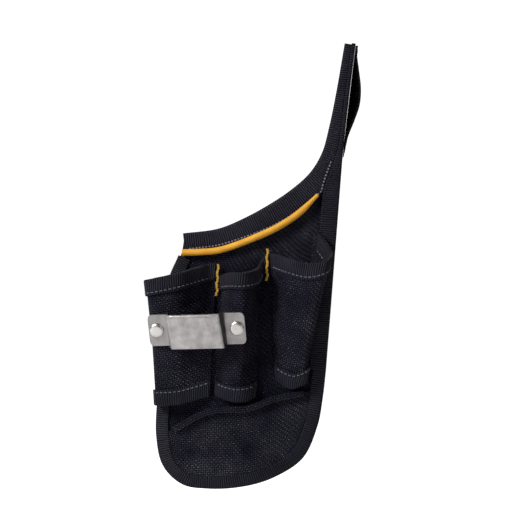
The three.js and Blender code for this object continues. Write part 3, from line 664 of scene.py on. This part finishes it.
def steel_look(name, dark, light, rough, grain, painted_shade_bend=None):
    """Brushed steel: streaks, smears and scratches, darker on the tabs, with painted shade standing in for a
    shadow on one of the bends.
    """
    n = Nodes(name)
    uv, u, _ = n.cloth()
    stretched = n.node("Mapping", {"Vector": uv, "Scale": (1.0, 0.06, 1.0)}).outputs[0]
    streaks = n.noise(stretched, 1.6, 6.0)
    smears = n.ramp(n.noise(n.place(), 150.0, 4.0), 0.0, 1.0, 0.35, 0.65)
    scratched = n.node("Mapping", {"Vector": uv, "Scale": (0.3, 1.0, 1.0), "Rotation": (0, 0, 0.5)})
    scratches = n.ramp(n.noise(scratched.outputs[0], 2.2, 8.0), 0.0, 1.0, 0.62, 0.7)
    tone = n.add(n.times(streaks, 0.55), n.times(smears, 0.45))
    colour = n.mix(tone, dark, light)
    if painted_shade_bend:
        start, end = painted_shade_bend
        tabs = n.ramp(n.math("ABSOLUTE", u), 0.0, 0.45, end - 1, end + 1)
        colour = n.mix(tabs, colour, dark)
        # Painted shade: the wall down from the plate to the right-hand tab is painted near black, standing
        # in for its shadow.
        into, out = n.ramp(u, 0.0, 0.85, start, start + 0.9), n.ramp(u, 1.0, 0.0, end - 1, end)
        colour = n.mix(n.times(into, out), colour, (0.03, 0.028, 0.027))
    n.set(
        Base_Color=colour,
        Roughness=n.add(n.ramp(streaks, rough, rough + 0.2, 0.3, 0.7), n.times(scratches, 0.12)),
        Metallic=1.0,
    )
    n.bump(n.add(streaks, n.times(scratches, -0.5)), grain, 0.00012)
    return n.material


def board_look(name):
    n = Nodes(name)
    grain = n.noise(n.place(), 900.0, 4.0)
    n.set(Base_Color=n.mix(grain, (0.03, 0.03, 0.034), (0.07, 0.07, 0.075)),
          Roughness=n.ramp(grain, 0.5, 0.75, 0.3, 0.7))
    n.bump(grain, 0.3, 0.0002)
    return n.material


CLIP_STEEL = (0.28, 0.265, 0.26), (0.72, 0.69, 0.675)
LOOKS = {
    "nylon": weave_look("ballistic_nylon", 1.55, (0.001, 0.0008, 0.006), (0.025, 0.0235, 0.044), 0.28, 1.0),
    "mesh": weave_look("hip_spacer_cloth", 1.6, (0.003, 0.003, 0.004), (0.024, 0.024, 0.032), 0.6, 0.9),
    "lining": weave_look("lining_cloth", 0.5, (0.003, 0.003, 0.004), (0.014, 0.014, 0.019), 0.55, 0.6),
    "grosgrain": ribbed_look(
        "grosgrain_tape", 1.5, (0.0009, 0.0008, 0.005), (0.0155, 0.0148, 0.028), 0.42, 1.0, shine=0.3),
    "webbing": ribbed_look("loop_webbing", 1.6, (0.003, 0.003, 0.004), (0.020, 0.020, 0.028), 0.5, 1.0),
    "piping": cord_look("yellow_piping", (0.56, 0.24, 0.010), (0.84, 0.42, 0.022), 0.8, 0.45, 0.35),
    "yellow": cord_look("yellow_thread", (0.50, 0.25, 0.015), (0.88, 0.55, 0.08), 0.35, 0.4, 0.5),
    "thread": cord_look("grey_thread", (0.08, 0.08, 0.11), (0.22, 0.22, 0.28), 0.35, 0.4, 0.5),
    # A brighter copy of the grey thread for the mouth band's stitches: painted highlight.
    "painted_highlight_thread": cord_look("lavender_thread_painted_highlight", (0.12, 0.115, 0.16), (0.34, 0.33, 0.42), 0.35, 0.4, 0.5),
    "dark_thread": cord_look(
        "black_thread", (0.003, 0.003, 0.006), (0.016, 0.016, 0.026), 0.35, 0.5, 0.5, specular=0.2),
    # The clip's steel has painted shade on the wall down to its right-hand tab.
    "steel": steel_look(
        "brushed_clip_steel_with_painted_shade", *CLIP_STEEL, 0.34, 0.5, painted_shade_bend=(PLATE_END + 0.2, PLATE_END + CLIP_RISE)),
    "lip": steel_look("rolled_lip_steel", *CLIP_STEEL, 0.3, 0.4),
    "rivet": steel_look("bright_rivet_steel", (0.62, 0.60, 0.57), (0.86, 0.84, 0.80), 0.22, 0.3),
    "board": board_look("stiffener_sheet"),
}

# ---- side panels and gusset
mouth_curve = Curve(MOUTH)
edge_curve = Curve(FRONT_BOTTOM)


def inset_line(curve, start, end, inset, turn, count):
    s = Stations(curve, start, end, count, turn, inset)
    return np.stack([s.x, s.z], -1)


def fixed(line, start, end):
    """A line with its two ends moved onto two corners."""
    t = np.linspace(0, 1, len(line))[:, None]
    return line + (start - line[0]) * (1 - t) + (end - line[-1]) * t


def patch(bottom, top, left, right):
    """A grid of points that fills the space between four lines in the side view."""
    u = np.linspace(0, 1, len(bottom))[:, None, None]
    v = np.linspace(0, 1, len(left))[None, :, None]
    across = lerp(bottom[:, None], top[:, None], v) + lerp(left[None], right[None], u)
    return across - lerp(lerp(bottom[0], bottom[-1], u), lerp(top[0], top[-1], u), v)


def on_panel(flat, off, thickness):
    x, z = flat[..., 0], flat[..., 1]
    return sheet(on_side(x, z, off), on_side(x, z, off - thickness))


def side_panel():
    across, up, crest = 84, 64, 78
    mouth = inset_line(mouth_curve, 0, 1, CUT, 1, crest)
    front = inset_line(edge_curve, FRONT_CORNER, 0, CUT, -1, up)
    bottom = inset_line(edge_curve, FRONT_CORNER, 1, CUT, -1, across)
    front_top = np.array([front[-1][0], mouth[0][1]])
    neck_front = np.array([mouth[-1][0], NECK_TOP - FOLD])
    neck_back = np.array([hip_x(NECK_TOP) - FOLD, NECK_TOP - FOLD])
    low_back = np.array([-FOLD, BACK_END])
    crossing = np.linspace(neck_front, neck_back, across - crest + 1)[1:]
    top = np.vstack([fixed(mouth, front_top, neck_front), crossing])
    z = np.linspace(BACK_END, NECK_TOP - FOLD, up + 1)
    back = np.stack([hip_x(z) - FOLD, z], -1)
    corner = front[0]
    return on_panel(patch(
        fixed(bottom, corner, low_back), top, fixed(front, corner, front_top), back,
    ), 0.0, PANEL)


def gusset():
    """The strip between the side panels, with a fin folded along each of them."""
    s = Stations(edge_curve, GUSSET_START, GUSSET_END, 110, -1)
    outside = -(PANEL + GAP)
    inside = outside - FLANGE

    def section(k):
        fin = fin_at(s.t[k])
        return [(-CUT, outside), (-fin - FLANGE, outside), (-fin, inside), (-CUT, inside)]

    near = s.sections(section)
    far = near * (1, -1, 1)
    return sweep(np.concatenate([near[:, :2], far[:, [1, 0, 3, 2]], near[:, 2:]], axis=1))


both("side_cloth", side_panel(), "nylon", "side_panel")
make("gusset_cloth", gusset(), "nylon", ["gusset"])


# ---- bindings and piping
def folded(outer_leg, inner_leg):
    """The section of a tape folded over the seam of a side panel and the gusset."""
    outside, inside = GAP, -(STACK + GAP)
    outline = [
        (-outer_leg, outside), (-outer_leg, outside + TAPE), (FOLD, outside + TAPE),
        (FOLD, inside - TAPE), (-inner_leg, inside - TAPE), (-inner_leg, inside),
        (GAP, inside), (GAP, outside),
    ]
    return fillet(outline, (0.2, 0.4, 1.9, 1.9, 0.4, 0.2, 0.3, 0.3))


def edge_stations(start=EDGE_START, end=EDGE_END, count=150):
    return Stations(edge_curve, start, end, count, -1, FOLD)


def edge_tape():
    s = edge_stations()
    return sweep(s.sections(lambda k: folded(
        EDGE_TAPE - FOLD, max(-0.2, fin_at(s.t[k]) - FLANGE - SEAM_FIN_END))))


def mouth_stations(start=0.002, end=0.998, count=150):
    return Stations(mouth_curve, start, end, count, 1, FOLD)


def band_leg(s, k):
    """The outer leg of the mouth band: wider in the middle, and clear of the back tape."""
    leg = lerp(MOUTH_BAND, MOUTH_BAND_WIDE, smooth(s.x[k], *BAND_WIDENS))
    while leg > 1:
        z = s.z[k] - leg * s.ez[k]
        if hip_x(z) - rim_width(z) - (s.x[k] - leg * s.ex[k]) >= GAP / 3:
            break
        leg -= 0.05
    return leg


def mouth_band():
    s = mouth_stations()

    def section(k):
        room = hip_x(s.z[k]) - BACK_THICK - 2 * GAP - s.x[k]
        inner = np.clip(room / max(GAP, -s.ex[k]), -GAP, MOUTH_BAND)
        return folded(band_leg(s, k), lerp(-GAP, inner, smooth(s.x[k], *INNER_LEG_STARTS)))

    return sweep(s.sections(section))


def band_stitches():
    s = mouth_stations(*BAND_ROW, 160)
    legs = np.array([band_leg(s, k) for k in range(len(s.t))])
    path = s.beside(TAPE_ROW - legs, FOLD + PROUD)
    return side_stitches(path, pitch=2.3, length=1.7, radius=0.48)


def piping():
    s = Stations(Curve(PIPING), 0, 1, 90, 1)
    radius = PIPING_RADIUS * lerp(1, PIPING_THIN, smooth(s.t, 0.84, 1))
    lifted = FOLD + GAP + radius
    angles = np.arange(20) * 2 * math.pi / 20
    e = radius[:, None] * np.cos(angles)
    return sweep(s.beside(e, lifted[:, None] + radius[:, None] * np.sin(angles)))


def back_tape():
    rings = []
    for z in np.linspace(BACK_END + 0.02, NECK_TOP, 90):
        rim = rim_width(z)
        outline = fillet([
            (-rim, GAP), (-rim, FOLD), (0, FOLD), (0, -HIP_LEG), (-TAPE, -HIP_LEG), (-TAPE, GAP),
        ], (0.2, 0.4, 1.6, 0.4, 0.2, 0.4))
        rings.append(on_side(hip_x(z) + outline[:, 0], z, outline[:, 1]))
    return sweep(rings)


def back_stitches():
    z = np.linspace(BACK_END + 6, 40, 90)
    path = on_side(hip_x(z) - rim_width(z) + TAPE_ROW, z, FOLD + PROUD)
    return side_stitches(path)


def edge_stitches():
    s = edge_stations(0.06, 0.985, 200)
    path = s.beside(FOLD - EDGE_TAPE + TAPE_ROW, FOLD + 0.02)
    return side_stitches(path, radius=0.3)


both("edge_binding", edge_tape(), "grosgrain", "edge_tape")
both("mouth_binding", mouth_band(), "grosgrain", "mouth_band")
# The mouth band's stitches use the brighter thread copy, a painted highlight.
both("mouth_stitching", band_stitches(), "painted_highlight_thread")
both("edge_stitching", edge_stitches(), "dark_thread")
both("piping_cord", piping(), "piping", "piping")
both("back_binding", back_tape(), "grosgrain", "back_tape")
both("back_stitching", back_stitches(), "dark_thread")


# ---- back and belt loop
def back_layer(outline_at):
    """A layer of the back: an outline swept up it, leaning with the neck."""
    rings = []
    for z in np.linspace(BACK_END, NECK_TOP - FOLD, 60):
        outline = outline_at(z)
        rings.append(np.stack([hip_x(z) + outline[:, 0], outline[:, 1], np.full(len(outline), z)], -1))
    return sweep(rings)


def inner_half(z):
    return min(half_width(0, z), half_width(-6, z)) - PANEL - GAP


def hip_outline(z):
    half = inner_half(z)
    raised = half_width(0, z) - HIP_LEG - 2 * GAP
    return fillet([
        (-PLATEAU, half), (-PLATEAU, -half), (-REBATE, -half), (-REBATE, -raised),
        (0, -raised), (0, raised), (-REBATE, raised), (-REBATE, half),
    ], (0.3, 0.3, 0.3, 0.5, 1.1, 1.1, 0.5, 0.3))


def lining_outline(z):
    half = inner_half(z)
    back = -BACK_THICK + LINING
    return fillet([(-BACK_THICK, half), (-BACK_THICK, -half), (back, -half), (back, half)], 0.3)


hip = make("hip_pad", back_layer(hip_outline), "mesh", ["hip_panel"])
make("lining_sheet", back_layer(lining_outline), "lining", ["back_lining"])


def across_pouch(outline, half, lean=0.0):
    return sweep([
        [(x + lean * (z - NECK_TOP), y, z) for x, z in outline] for y in np.linspace(-half, half, 24)
    ])


def neck_binding():
    half = half_width(0, NECK_TOP) - STACK - GAP - FOLD - GAP
    under = NECK_TOP - FOLD + GAP
    back = hip_x(NECK_TOP)
    front = back - BACK_THICK - GAP
    outline = fillet([
        (front - TAPE, under - NECK_LEG), (front, under - NECK_LEG), (front, under),
        (back - TAPE, under), (back - TAPE, under + TAPE), (front - TAPE, under + TAPE),
    ], (0.3, 0.2, 0.3, 0.2, 0.3, 1.2))
    return across_pouch(outline, half, lean=NECK_SLOPE)


def gusset_hem():
    s = Stations(edge_curve, GUSSET_START, GUSSET_START + 0.002, 1, -1)
    x, top = s.x[0] - s.ex[0] * (FOLD + SEAM_FIN - SEAM_FIN_END), s.z[0]
    half = half_width(x, top) - STACK - 2 * GAP - TAPE
    wide, narrow, low = 3, 2, top - NECK_LEG
    outline = fillet([
        (x - wide, low), (x - wide, top + FOLD), (x + wide, top + FOLD), (x + wide, low),
        (x + narrow, low), (x + narrow, top + GAP), (x - narrow, top + GAP), (x - narrow, low),
    ], (0.3, 1.2, 1.2, 0.3, 0.2, 0.2, 0.2, 0.2))
    return across_pouch(outline, half)


make("neck_top_binding", neck_binding(), "grosgrain", ["neck_binding"])
make("gusset_top_binding", gusset_hem(), "grosgrain", ["gusset_hem"])

loop_curve = Curve(LOOP_PATH)


def loop_point(t, y, off):
    """The loop stands open at its near edge and lies almost flat at its far edge."""
    point, along = loop_curve.at(t), loop_curve.tangent(t)
    pressed = hip_x(point[1]) + LOOP_PATH[-1][0] - hip_x(LOOP_PATH[-1][1])
    thin = lerp(LOOP_THIN, 1, smooth(1 - t, 0, LOOP_END))
    x = lerp(point[0], pressed, (y + LOOP_HALF) / (2 * LOOP_HALF)) - LOOP_SUNK * (1 - thin)
    return np.array([x - along[1] * off * thin, y, point[1] + along[0] * off * thin])


def belt_loop():
    half = WEBBING / 2
    outline = fillet([(-LOOP_HALF, -half), (LOOP_HALF, -half), (LOOP_HALF, half), (-LOOP_HALF, half)], 0.6)
    return sweep([[loop_point(t, y, off) for y, off in outline] for t in np.linspace(0, 1, 110)])


def loop_bartack(middle):
    """A row of dense cross stitches, slanting by turns, over one end of the belt loop."""
    off = WEBBING / 2 + 0.1
    point = loop_point(middle, 0, 0)
    out = loop_point(middle, 0, 1) - point
    along = loop_curve.tangent(middle)
    up = np.array([along[0], 0, along[1]])
    centres, directions = [], []
    for k, y in enumerate(np.arange(-LOOP_HALF + 2, LOOP_HALF - 2, 0.5)):
        centres.append(loop_point(middle, y, off))
        directions.append(unit(up * 2.2 + np.array([0, 0.25 if k % 2 else -0.25, 0])))
    return threads(centres, directions, [out] * len(centres), 2.4, 0.22, 0.3)


make("belt_loop_webbing", belt_loop(), "webbing", ["belt_loop"])
for end, middle in LOOP_BARTACKS.items():
    make(f"loop_bartack_{end}", loop_bartack(middle), "dark_thread", [f"belt_loop_bartack_{end}"])


# ---- sleeves
def bump_at(value, middle, width):
    return np.exp(-((value - middle) / width) ** 2)


def creases(name, s, t):
    """How far a sleeve's cloth stands in or out of its plain shape where it is pulled or slack."""
    if name == "back":
        pull = bump_at(s, 0.16, 0.12) * bump_at(t, 0.17, 0.09) * np.sin(t * 150 + s * 9)
        return 0.5 * pull - 0.9 * bump_at(s, 0.30, 0.10) * bump_at(t, 0.45, 0.3)
    if name == "front":
        slack = bump_at(s, 0.78, 0.10) * bump_at(t, 0.35, 0.2) * np.sin(t * 34 + s * 12)
        return 0.45 * slack - 0.8 * bump_at(s, 0.72, 0.08) * bump_at(t, 0.75, 0.2)
    return 0.35 * bump_at(t, 0.62, 0.2) * np.sin(s * 18 + t * 5)


class Sleeve:
    def __init__(self, name, top, bottom, taped):
        self.name, self.taped = name, taped
        self.top, self.bottom = Curve(top), Curve(bottom)
        self.height = np.linalg.norm(self.face(0.5, 0)[0] - self.face(0.5, 1)[0])
        self.tape_share = SLEEVE_TAPE / self.height

    def flat(self, s, t):
        point = lerp(self.top.at(s), self.bottom.at(s), t)
        crown = SLEEVE_BELLY * math.sin(math.pi * min(max(t, 0), 1))
        point[1] += crown * max(0, point[1] - PANEL)
        return point

    def face(self, s, t):
        """A point of the sleeve's outer face and its outward direction."""
        here = self.flat(s, t)
        along = unit((self.flat(min(1, s + 0.01), t) - self.flat(max(0, s - 0.01), t))[:2])
        out = np.array([-along[1], -along[0], 0])
        edge = smooth(s, 0, 0.08) * (1 - smooth(s, 0.92, 1))
        return on_side(here[0], here[2], here[1]) + out * creases(self.name, s, t) * edge, out

    def wall(self):
        outer, inner = [], []
        for s in np.linspace(0, 1, 91):
            column = [self.face(s, t) for t in np.linspace(0, 1, 61)]
            outer.append([p for p, _ in column])
            inner.append([p - out * WALL for p, out in column])
        return sheet(outer, inner)

    def edge_at(self, s, edge, inner):
        """An edge point, outward there and at the tape's end, the way beyond, the tape's reach."""
        rim, out = self.face(s, edge)
        base, base_out = self.face(s, inner)
        reach = np.linalg.norm(rim - base)
        return rim, out, base_out, (rim - base) / reach, reach

    def tape(self, edge, inner):
        """A tape folded over the edge at t = edge, reaching down the outside to t = inner."""
        rings = []
        start, end = self.taped
        under, over = 2 * SLACK, 2 * SLACK + TAPE
        for s in np.linspace(start + 0.004, end - 0.004, 90):
            rim, out, base_out, beyond, reach = self.edge_at(s, edge, inner)
            outline = fillet([
                (-reach, SLACK), (-reach, SLACK + TAPE), (over, SLACK + TAPE),
                (over, -WALL), (under, -WALL), (under, SLACK),
            ], (0.2, 0.35, 1.3, 0.3, 0.2, 0.2))
            ring = []
            for e, off in outline:
                share = min(1, -e / reach) if e < 0 else 0
                ring.append(rim + beyond * e + lerp(out, base_out, share) * off)
            rings.append(ring)
        return sweep(rings)

    def inner_leg(self, start, end):
        """The top tape's other leg, down the inside, where the return shows it."""
        rings = []
        over, near, far = 3 * SLACK, -WALL - 0.1, -WALL - TAPE
        for s in np.linspace(start, end, 30):
            rim, out, _, beyond, reach = self.edge_at(s, 0, self.tape_share)
            outline = fillet([(-reach, near), (-reach, far), (over, far), (over, near)], 0.3)
            rings.append([rim + beyond * e + out * off for e, off in outline])
        return sweep(rings)

    def stitch_row(self, t, off, start=None, end=None):
        first, last = self.taped
        faces = [self.face(s, t) for s in np.linspace(start or first + 0.02, end or last - 0.02, 90)]
        path = [p + out * off for p, out in faces]
        return stitches(path, [out * math.copysign(1, off) for _, out in faces])


sleeves = {name: Sleeve(name, **spec) for name, spec in SLEEVES.items()}
for name, one in sleeves.items():
    row, share = SLEEVE_ROW / one.height, one.tape_share
    both(f"{name}_sleeve_cloth", one.wall(), "nylon", f"{name}_sleeve")
    for end, edge, inner in (("top", 0, share), ("low", 1, 1 - share)):
        both(f"{name}_sleeve_{end}_binding", one.tape(edge, inner), "grosgrain", f"{name}_sleeve_{end}_tape")
    for end, t in (("top", row), ("low", 1 - row)):
        both(f"{name}_sleeve_{end}_stitching", one.stitch_row(t, SLACK + TAPE + PROUD), "thread")

one = sleeves["back"]
both("back_sleeve_return_binding", one.inner_leg(*RETURN), "grosgrain")
both("back_sleeve_return_stitching",
     one.stitch_row(SLEEVE_ROW / one.height, -WALL - TAPE - PROUD, *RETURN_ROW), "thread")


def bartack(ends):
    """A seam's end bar: close cross stitches, with a thicker knot of them at its top."""
    s = Stations(Curve(ends), 0, 1, 58, 1)
    centres, directions, outs = [], [], []
    loose = np.random.default_rng(BARTACK_SEED).uniform(-1, 1, (len(s.t), 2))
    for k in range(len(s.t)):
        wide = 1 + 0.5 * smooth(-s.t[k], -0.1, -0.02)
        slant = 0.45 * loose[k][0] + (0.3 if k % 2 else -0.3)
        across = np.array([s.ex[k], 0, s.ez[k]])
        directions.append(unit(across * wide + slant * np.array([-s.ez[k], 0, s.ex[k]])))
        off = BARTACK_OFF + 0.3 * (wide - 1)
        centres.append(on_side(s.x[k] + 0.35 * loose[k][1] + 0.3 * math.sin(s.t[k] * 17), s.z[k], off))
        outs.append(OUTWARD)
    return threads(centres, directions, outs, BARTACK_WIDTH, 0.27, 0.5)


for name, ends in BARTACKS.items():
    both(f"{name}_seam_bartack", bartack(ends), "yellow", f"{name}_bartack")

# ---- flat pocket
left_top, left_low, right_low, right_top = POCKET_EDGES
POCKET_INSET = EDGE_TAPE + 0.1
pocket_left = inset_line(edge_curve, left_low, left_top, POCKET_INSET, -1, 30)
pocket_right = inset_line(edge_curve, right_low, right_top, POCKET_INSET, -1, 30)
pocket_curve = Curve([pocket_left[-1], *POCKET_TOP, pocket_right[-1]])


def pocket_off(u, v):
    ripple = POCKET_RIPPLE * np.sin(u * 19) * v ** 3
    return FOLD + (POCKET_STAND + ripple) * np.sin(math.pi * u) ** 0.7 * v * v


def flat_pocket():
    low = inset_line(edge_curve, left_low, right_low, POCKET_INSET, -1, 90)
    flat = patch(low, pocket_curve.at(np.linspace(0, 1, 91)), pocket_left, pocket_right)
    off = pocket_off(np.linspace(0, 1, 91)[:, None], np.linspace(0, 1, 31)[None, :])
    return on_panel(flat, off, TAPE)


def pocket_hem():
    s = Stations(pocket_curve, 0.04, 0.96, 90, 1)

    def section(k):
        outside = pocket_off(s.t[k], 1) + SLACK
        return fillet([
            (-HEM_DEEP, outside), (-HEM_DEEP, outside + ROLL), (FOLD + SLACK, outside + ROLL),
            (FOLD + SLACK, outside - TAPE), (GAP + SLACK, outside - TAPE), (GAP + SLACK, outside),
        ], (0.2, 1.0, 1.5, 0.3, 0.1, 0.1))

    return sweep(s.sections(section))


def pocket_stitches():
    s = Stations(pocket_curve, 0.06, 0.94, 120, 1)
    path = s.beside(-HEM_ROW, pocket_off(s.t, 1) + SLACK + ROLL - 0.12)
    return side_stitches(path, radius=0.28)


both("flat_pocket_cloth", flat_pocket(), "nylon", "flat_pocket")
both("flat_pocket_roll", pocket_hem(), "nylon", "flat_pocket_hem")
both("flat_pocket_stitching", pocket_stitches(), "dark_thread")


# ---- steel clip
def clip_point(a, b, level):
    return CLIP_SEAT + np.array(CLIP_ALONG) * a + np.array(CLIP_UP) * b + np.array(CLIP_OUT) * level


def steel_clip():
    """One bent strip: a raised plate between two tabs, with rounded bends and corners."""
    reach, foot = CLIP_LENGTH / 2, PLATE_END + BEND
    line = fillet([
        (-reach, 0), (-foot, 0), (-PLATE_END, CLIP_RISE), (PLATE_END, CLIP_RISE), (foot, 0), (reach, 0),
        (reach, -reach), (-reach, -reach),
    ], (0, 1.0, 1.0, 1.0, 1.0, 0, 0, 0), steps=6)
    open_line = line[line[:, 1] >= -0.001]
    run = run_along(open_line, 0)
    places = np.unique(np.concatenate([run, np.linspace(0, run[-1], 120)]))
    a = np.interp(places, run, open_line[:, 0])
    level = np.interp(places, run, open_line[:, 1])
    slope = unit(np.stack([np.gradient(a), np.gradient(level)], -1))
    spread = np.linspace(-1, 1, 25)
    outer, inner = [], []
    for k in range(len(places)):
        from_end = max(0, TAB_CORNER - reach + abs(a[k]))
        rounding = TAB_CORNER - math.sqrt(max(0, TAB_CORNER ** 2 - from_end ** 2))
        half = lerp(PLATE_HEIGHT, TAB_HEIGHT, smooth(abs(a[k]), PLATE_END + 1, foot)) / 2 - rounding
        rows = np.sign(spread) * np.abs(spread) ** 0.8 * half
        over, rise = slope[k][::-1] * (-CLIP_SHEET, CLIP_SHEET)
        skew = PLATE_SKEW * level[k] / CLIP_RISE
        outer.append([clip_point(a[k] - skew * b + over, b, level[k] + rise) for b in rows])
        inner.append([clip_point(a[k] - skew * b, b, level[k]) for b in rows])
    return sheet(outer, inner)


def rolled_lip():
    """The plate's top edge, rolled outward."""
    top = PLATE_HEIGHT / 2 - 0.9
    left = PLATE_SKEW * top
    level = CLIP_RISE + CLIP_SHEET + CLIP_GAP
    outline = [(LIP_RADIUS * math.cos(w), LIP_RADIUS * math.sin(w)) for w in np.arange(12) * math.pi / 6]
    rings = []
    for a in np.linspace(-PLATE_END + 1.5, PLATE_END - 1.5, 40):
        taper = math.sqrt(max(0.05, 1 - (abs(a) / (PLATE_END - 1.2)) ** 16))
        rings.append([clip_point(a - left, top + p * taper, level + q * taper) for p, q in outline])
    return sweep(rings)


def rivet(side):
    """A flat round head with a soft edge, on a short shank through the tab."""
    base, head = CLIP_SHEET + CLIP_GAP, RIVET_HEAD
    profile = [
        (2, -3), (2, base), (head - 0.2, base), (head, base + 0.35), (head - 0.05, base + 0.8),
        (head - 0.5, base + 1.3), (head - 1.3, base + 1.6), (2.2, base + 1.72), (0.8, base + 1.75),
    ]
    middle = side * RIVET_REACH
    angles = np.arange(48) * 2 * math.pi / 48
    return sweep([
        [clip_point(middle + radius * math.cos(w), radius * math.sin(w), level) for w in angles]
        for radius, level in profile
    ])


clip = make("tape_clip_strip", steel_clip(), "steel", ["tape_clip"], soft=False, sharp=50)
bevel = clip.modifiers.new("edges", "BEVEL")
bevel.width, bevel.segments, bevel.limit_method = 0.00025, 2, "ANGLE"
make("tape_clip_lip", rolled_lip(), "lip", soft=False, sharp=60)
make("front_rivet_head", rivet(-1), "rivet", ["front_rivet"], soft=False, sharp=35)
make("middle_rivet_head", rivet(1), "rivet", ["middle_rivet"], soft=False, sharp=35)

# The CAD nodes that stay in view get their finished materials.
for node, look in (("stiffener", "board"), ("front_rivet_burr", "rivet"), ("middle_rivet_burr", "rivet")):
    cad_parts[node].material_slots[0].material = LOOKS[look]

# ---- stage, light and camera
MIDDLE = Vector((-46, -30, -27.8))  # what the camera looks at, in the pouch's own axes
target = Vector((np.array(MIDDLE) + ORIGIN) / 1000)
AZIMUTH, ELEVATION, LEAN = math.radians(2), math.radians(1), math.radians(4.4)
DISTANCE = 1.1
PIXELS_PER_MM = 1.5
IMAGE = 530
SENSOR = 36

camera_data = bpy.data.cameras.new("camera")
camera_data.sensor_width = SENSOR
camera_data.lens = SENSOR * PIXELS_PER_MM * DISTANCE * 1000 / IMAGE
camera = linked("camera", camera_data)
back = Vector((
    math.sin(AZIMUTH) * math.cos(ELEVATION), -math.cos(AZIMUTH) * math.cos(ELEVATION), math.sin(ELEVATION),
))
level_right = (-back).cross(Vector((0, 0, 1))).normalized()
level_up = level_right.cross(-back)
right = level_right * math.cos(LEAN) + level_up * math.sin(LEAN)
up = level_up * math.cos(LEAN) - level_right * math.sin(LEAN)
turn = Matrix((right, up, back)).transposed().to_4x4()
camera.matrix_world = Matrix.Translation(target + back * DISTANCE) @ turn
bpy.context.scene.camera = camera


def stage_material(name, colour, glow):
    """A matt ground that glows only as the camera sees it."""
    n = Nodes(name)
    speckle = n.noise(n.place(), 30.0, 3.0)
    n.set(Base_Color=n.mix(speckle, colour, [c * 0.97 for c in colour]), Roughness=0.9)
    seen = n.node("LightPath").outputs["Is Camera Ray"]
    n.set(Emission_Color=(1, 1, 1), Emission_Strength=n.times(seen, glow))
    return n.material


def floor():
    size = 14.0
    level = cad_box[0].z - FLOOR_DROP
    mesh = bpy.data.meshes.new("floor")
    corners = [(-size, -size, level), (size, -size, level), (size, size, level), (-size, size, level)]
    mesh.from_pydata(corners, [], [(0, 1, 2, 3)])
    mesh.materials.append(stage_material("pale_floor", (0.86, 0.86, 0.87), 0.95))
    linked("floor", mesh)


def soft_light(name, offset, size, power):
    data = bpy.data.lights.new(name, "AREA")
    data.shape, data.size, data.energy = "DISK", size, power
    made = linked(name, data)
    made.location = target + Vector(offset)
    made.rotation_mode = "QUATERNION"
    made.rotation_quaternion = Vector(offset).to_track_quat("Z", "Y")


def white_world(light, seen):
    world = bpy.data.worlds.new("studio")
    world.use_nodes = True
    tree = world.node_tree
    shade = tree.nodes["Background"]
    shade.inputs["Color"].default_value = (1, 1, 1, 1)
    path = tree.nodes.new("ShaderNodeLightPath")
    strength = tree.nodes.new("ShaderNodeMapRange")
    strength.inputs[3].default_value = light
    strength.inputs[4].default_value = seen
    tree.links.new(path.outputs["Is Camera Ray"], strength.inputs[0])
    tree.links.new(strength.outputs[0], shade.inputs["Strength"])
    bpy.context.scene.world = world


floor()
white_world(light=0.075, seen=1.1)
soft_light("key", (-1.0, -0.6, 0.62), 0.4, 17)
soft_light("fill", (0.8, -1.0, 0.3), 0.6, 0.7)
soft_light("top", (0.1, 0.1, 1.1), 0.5, 6)
bpy.context.scene.view_settings.view_transform = "Standard"
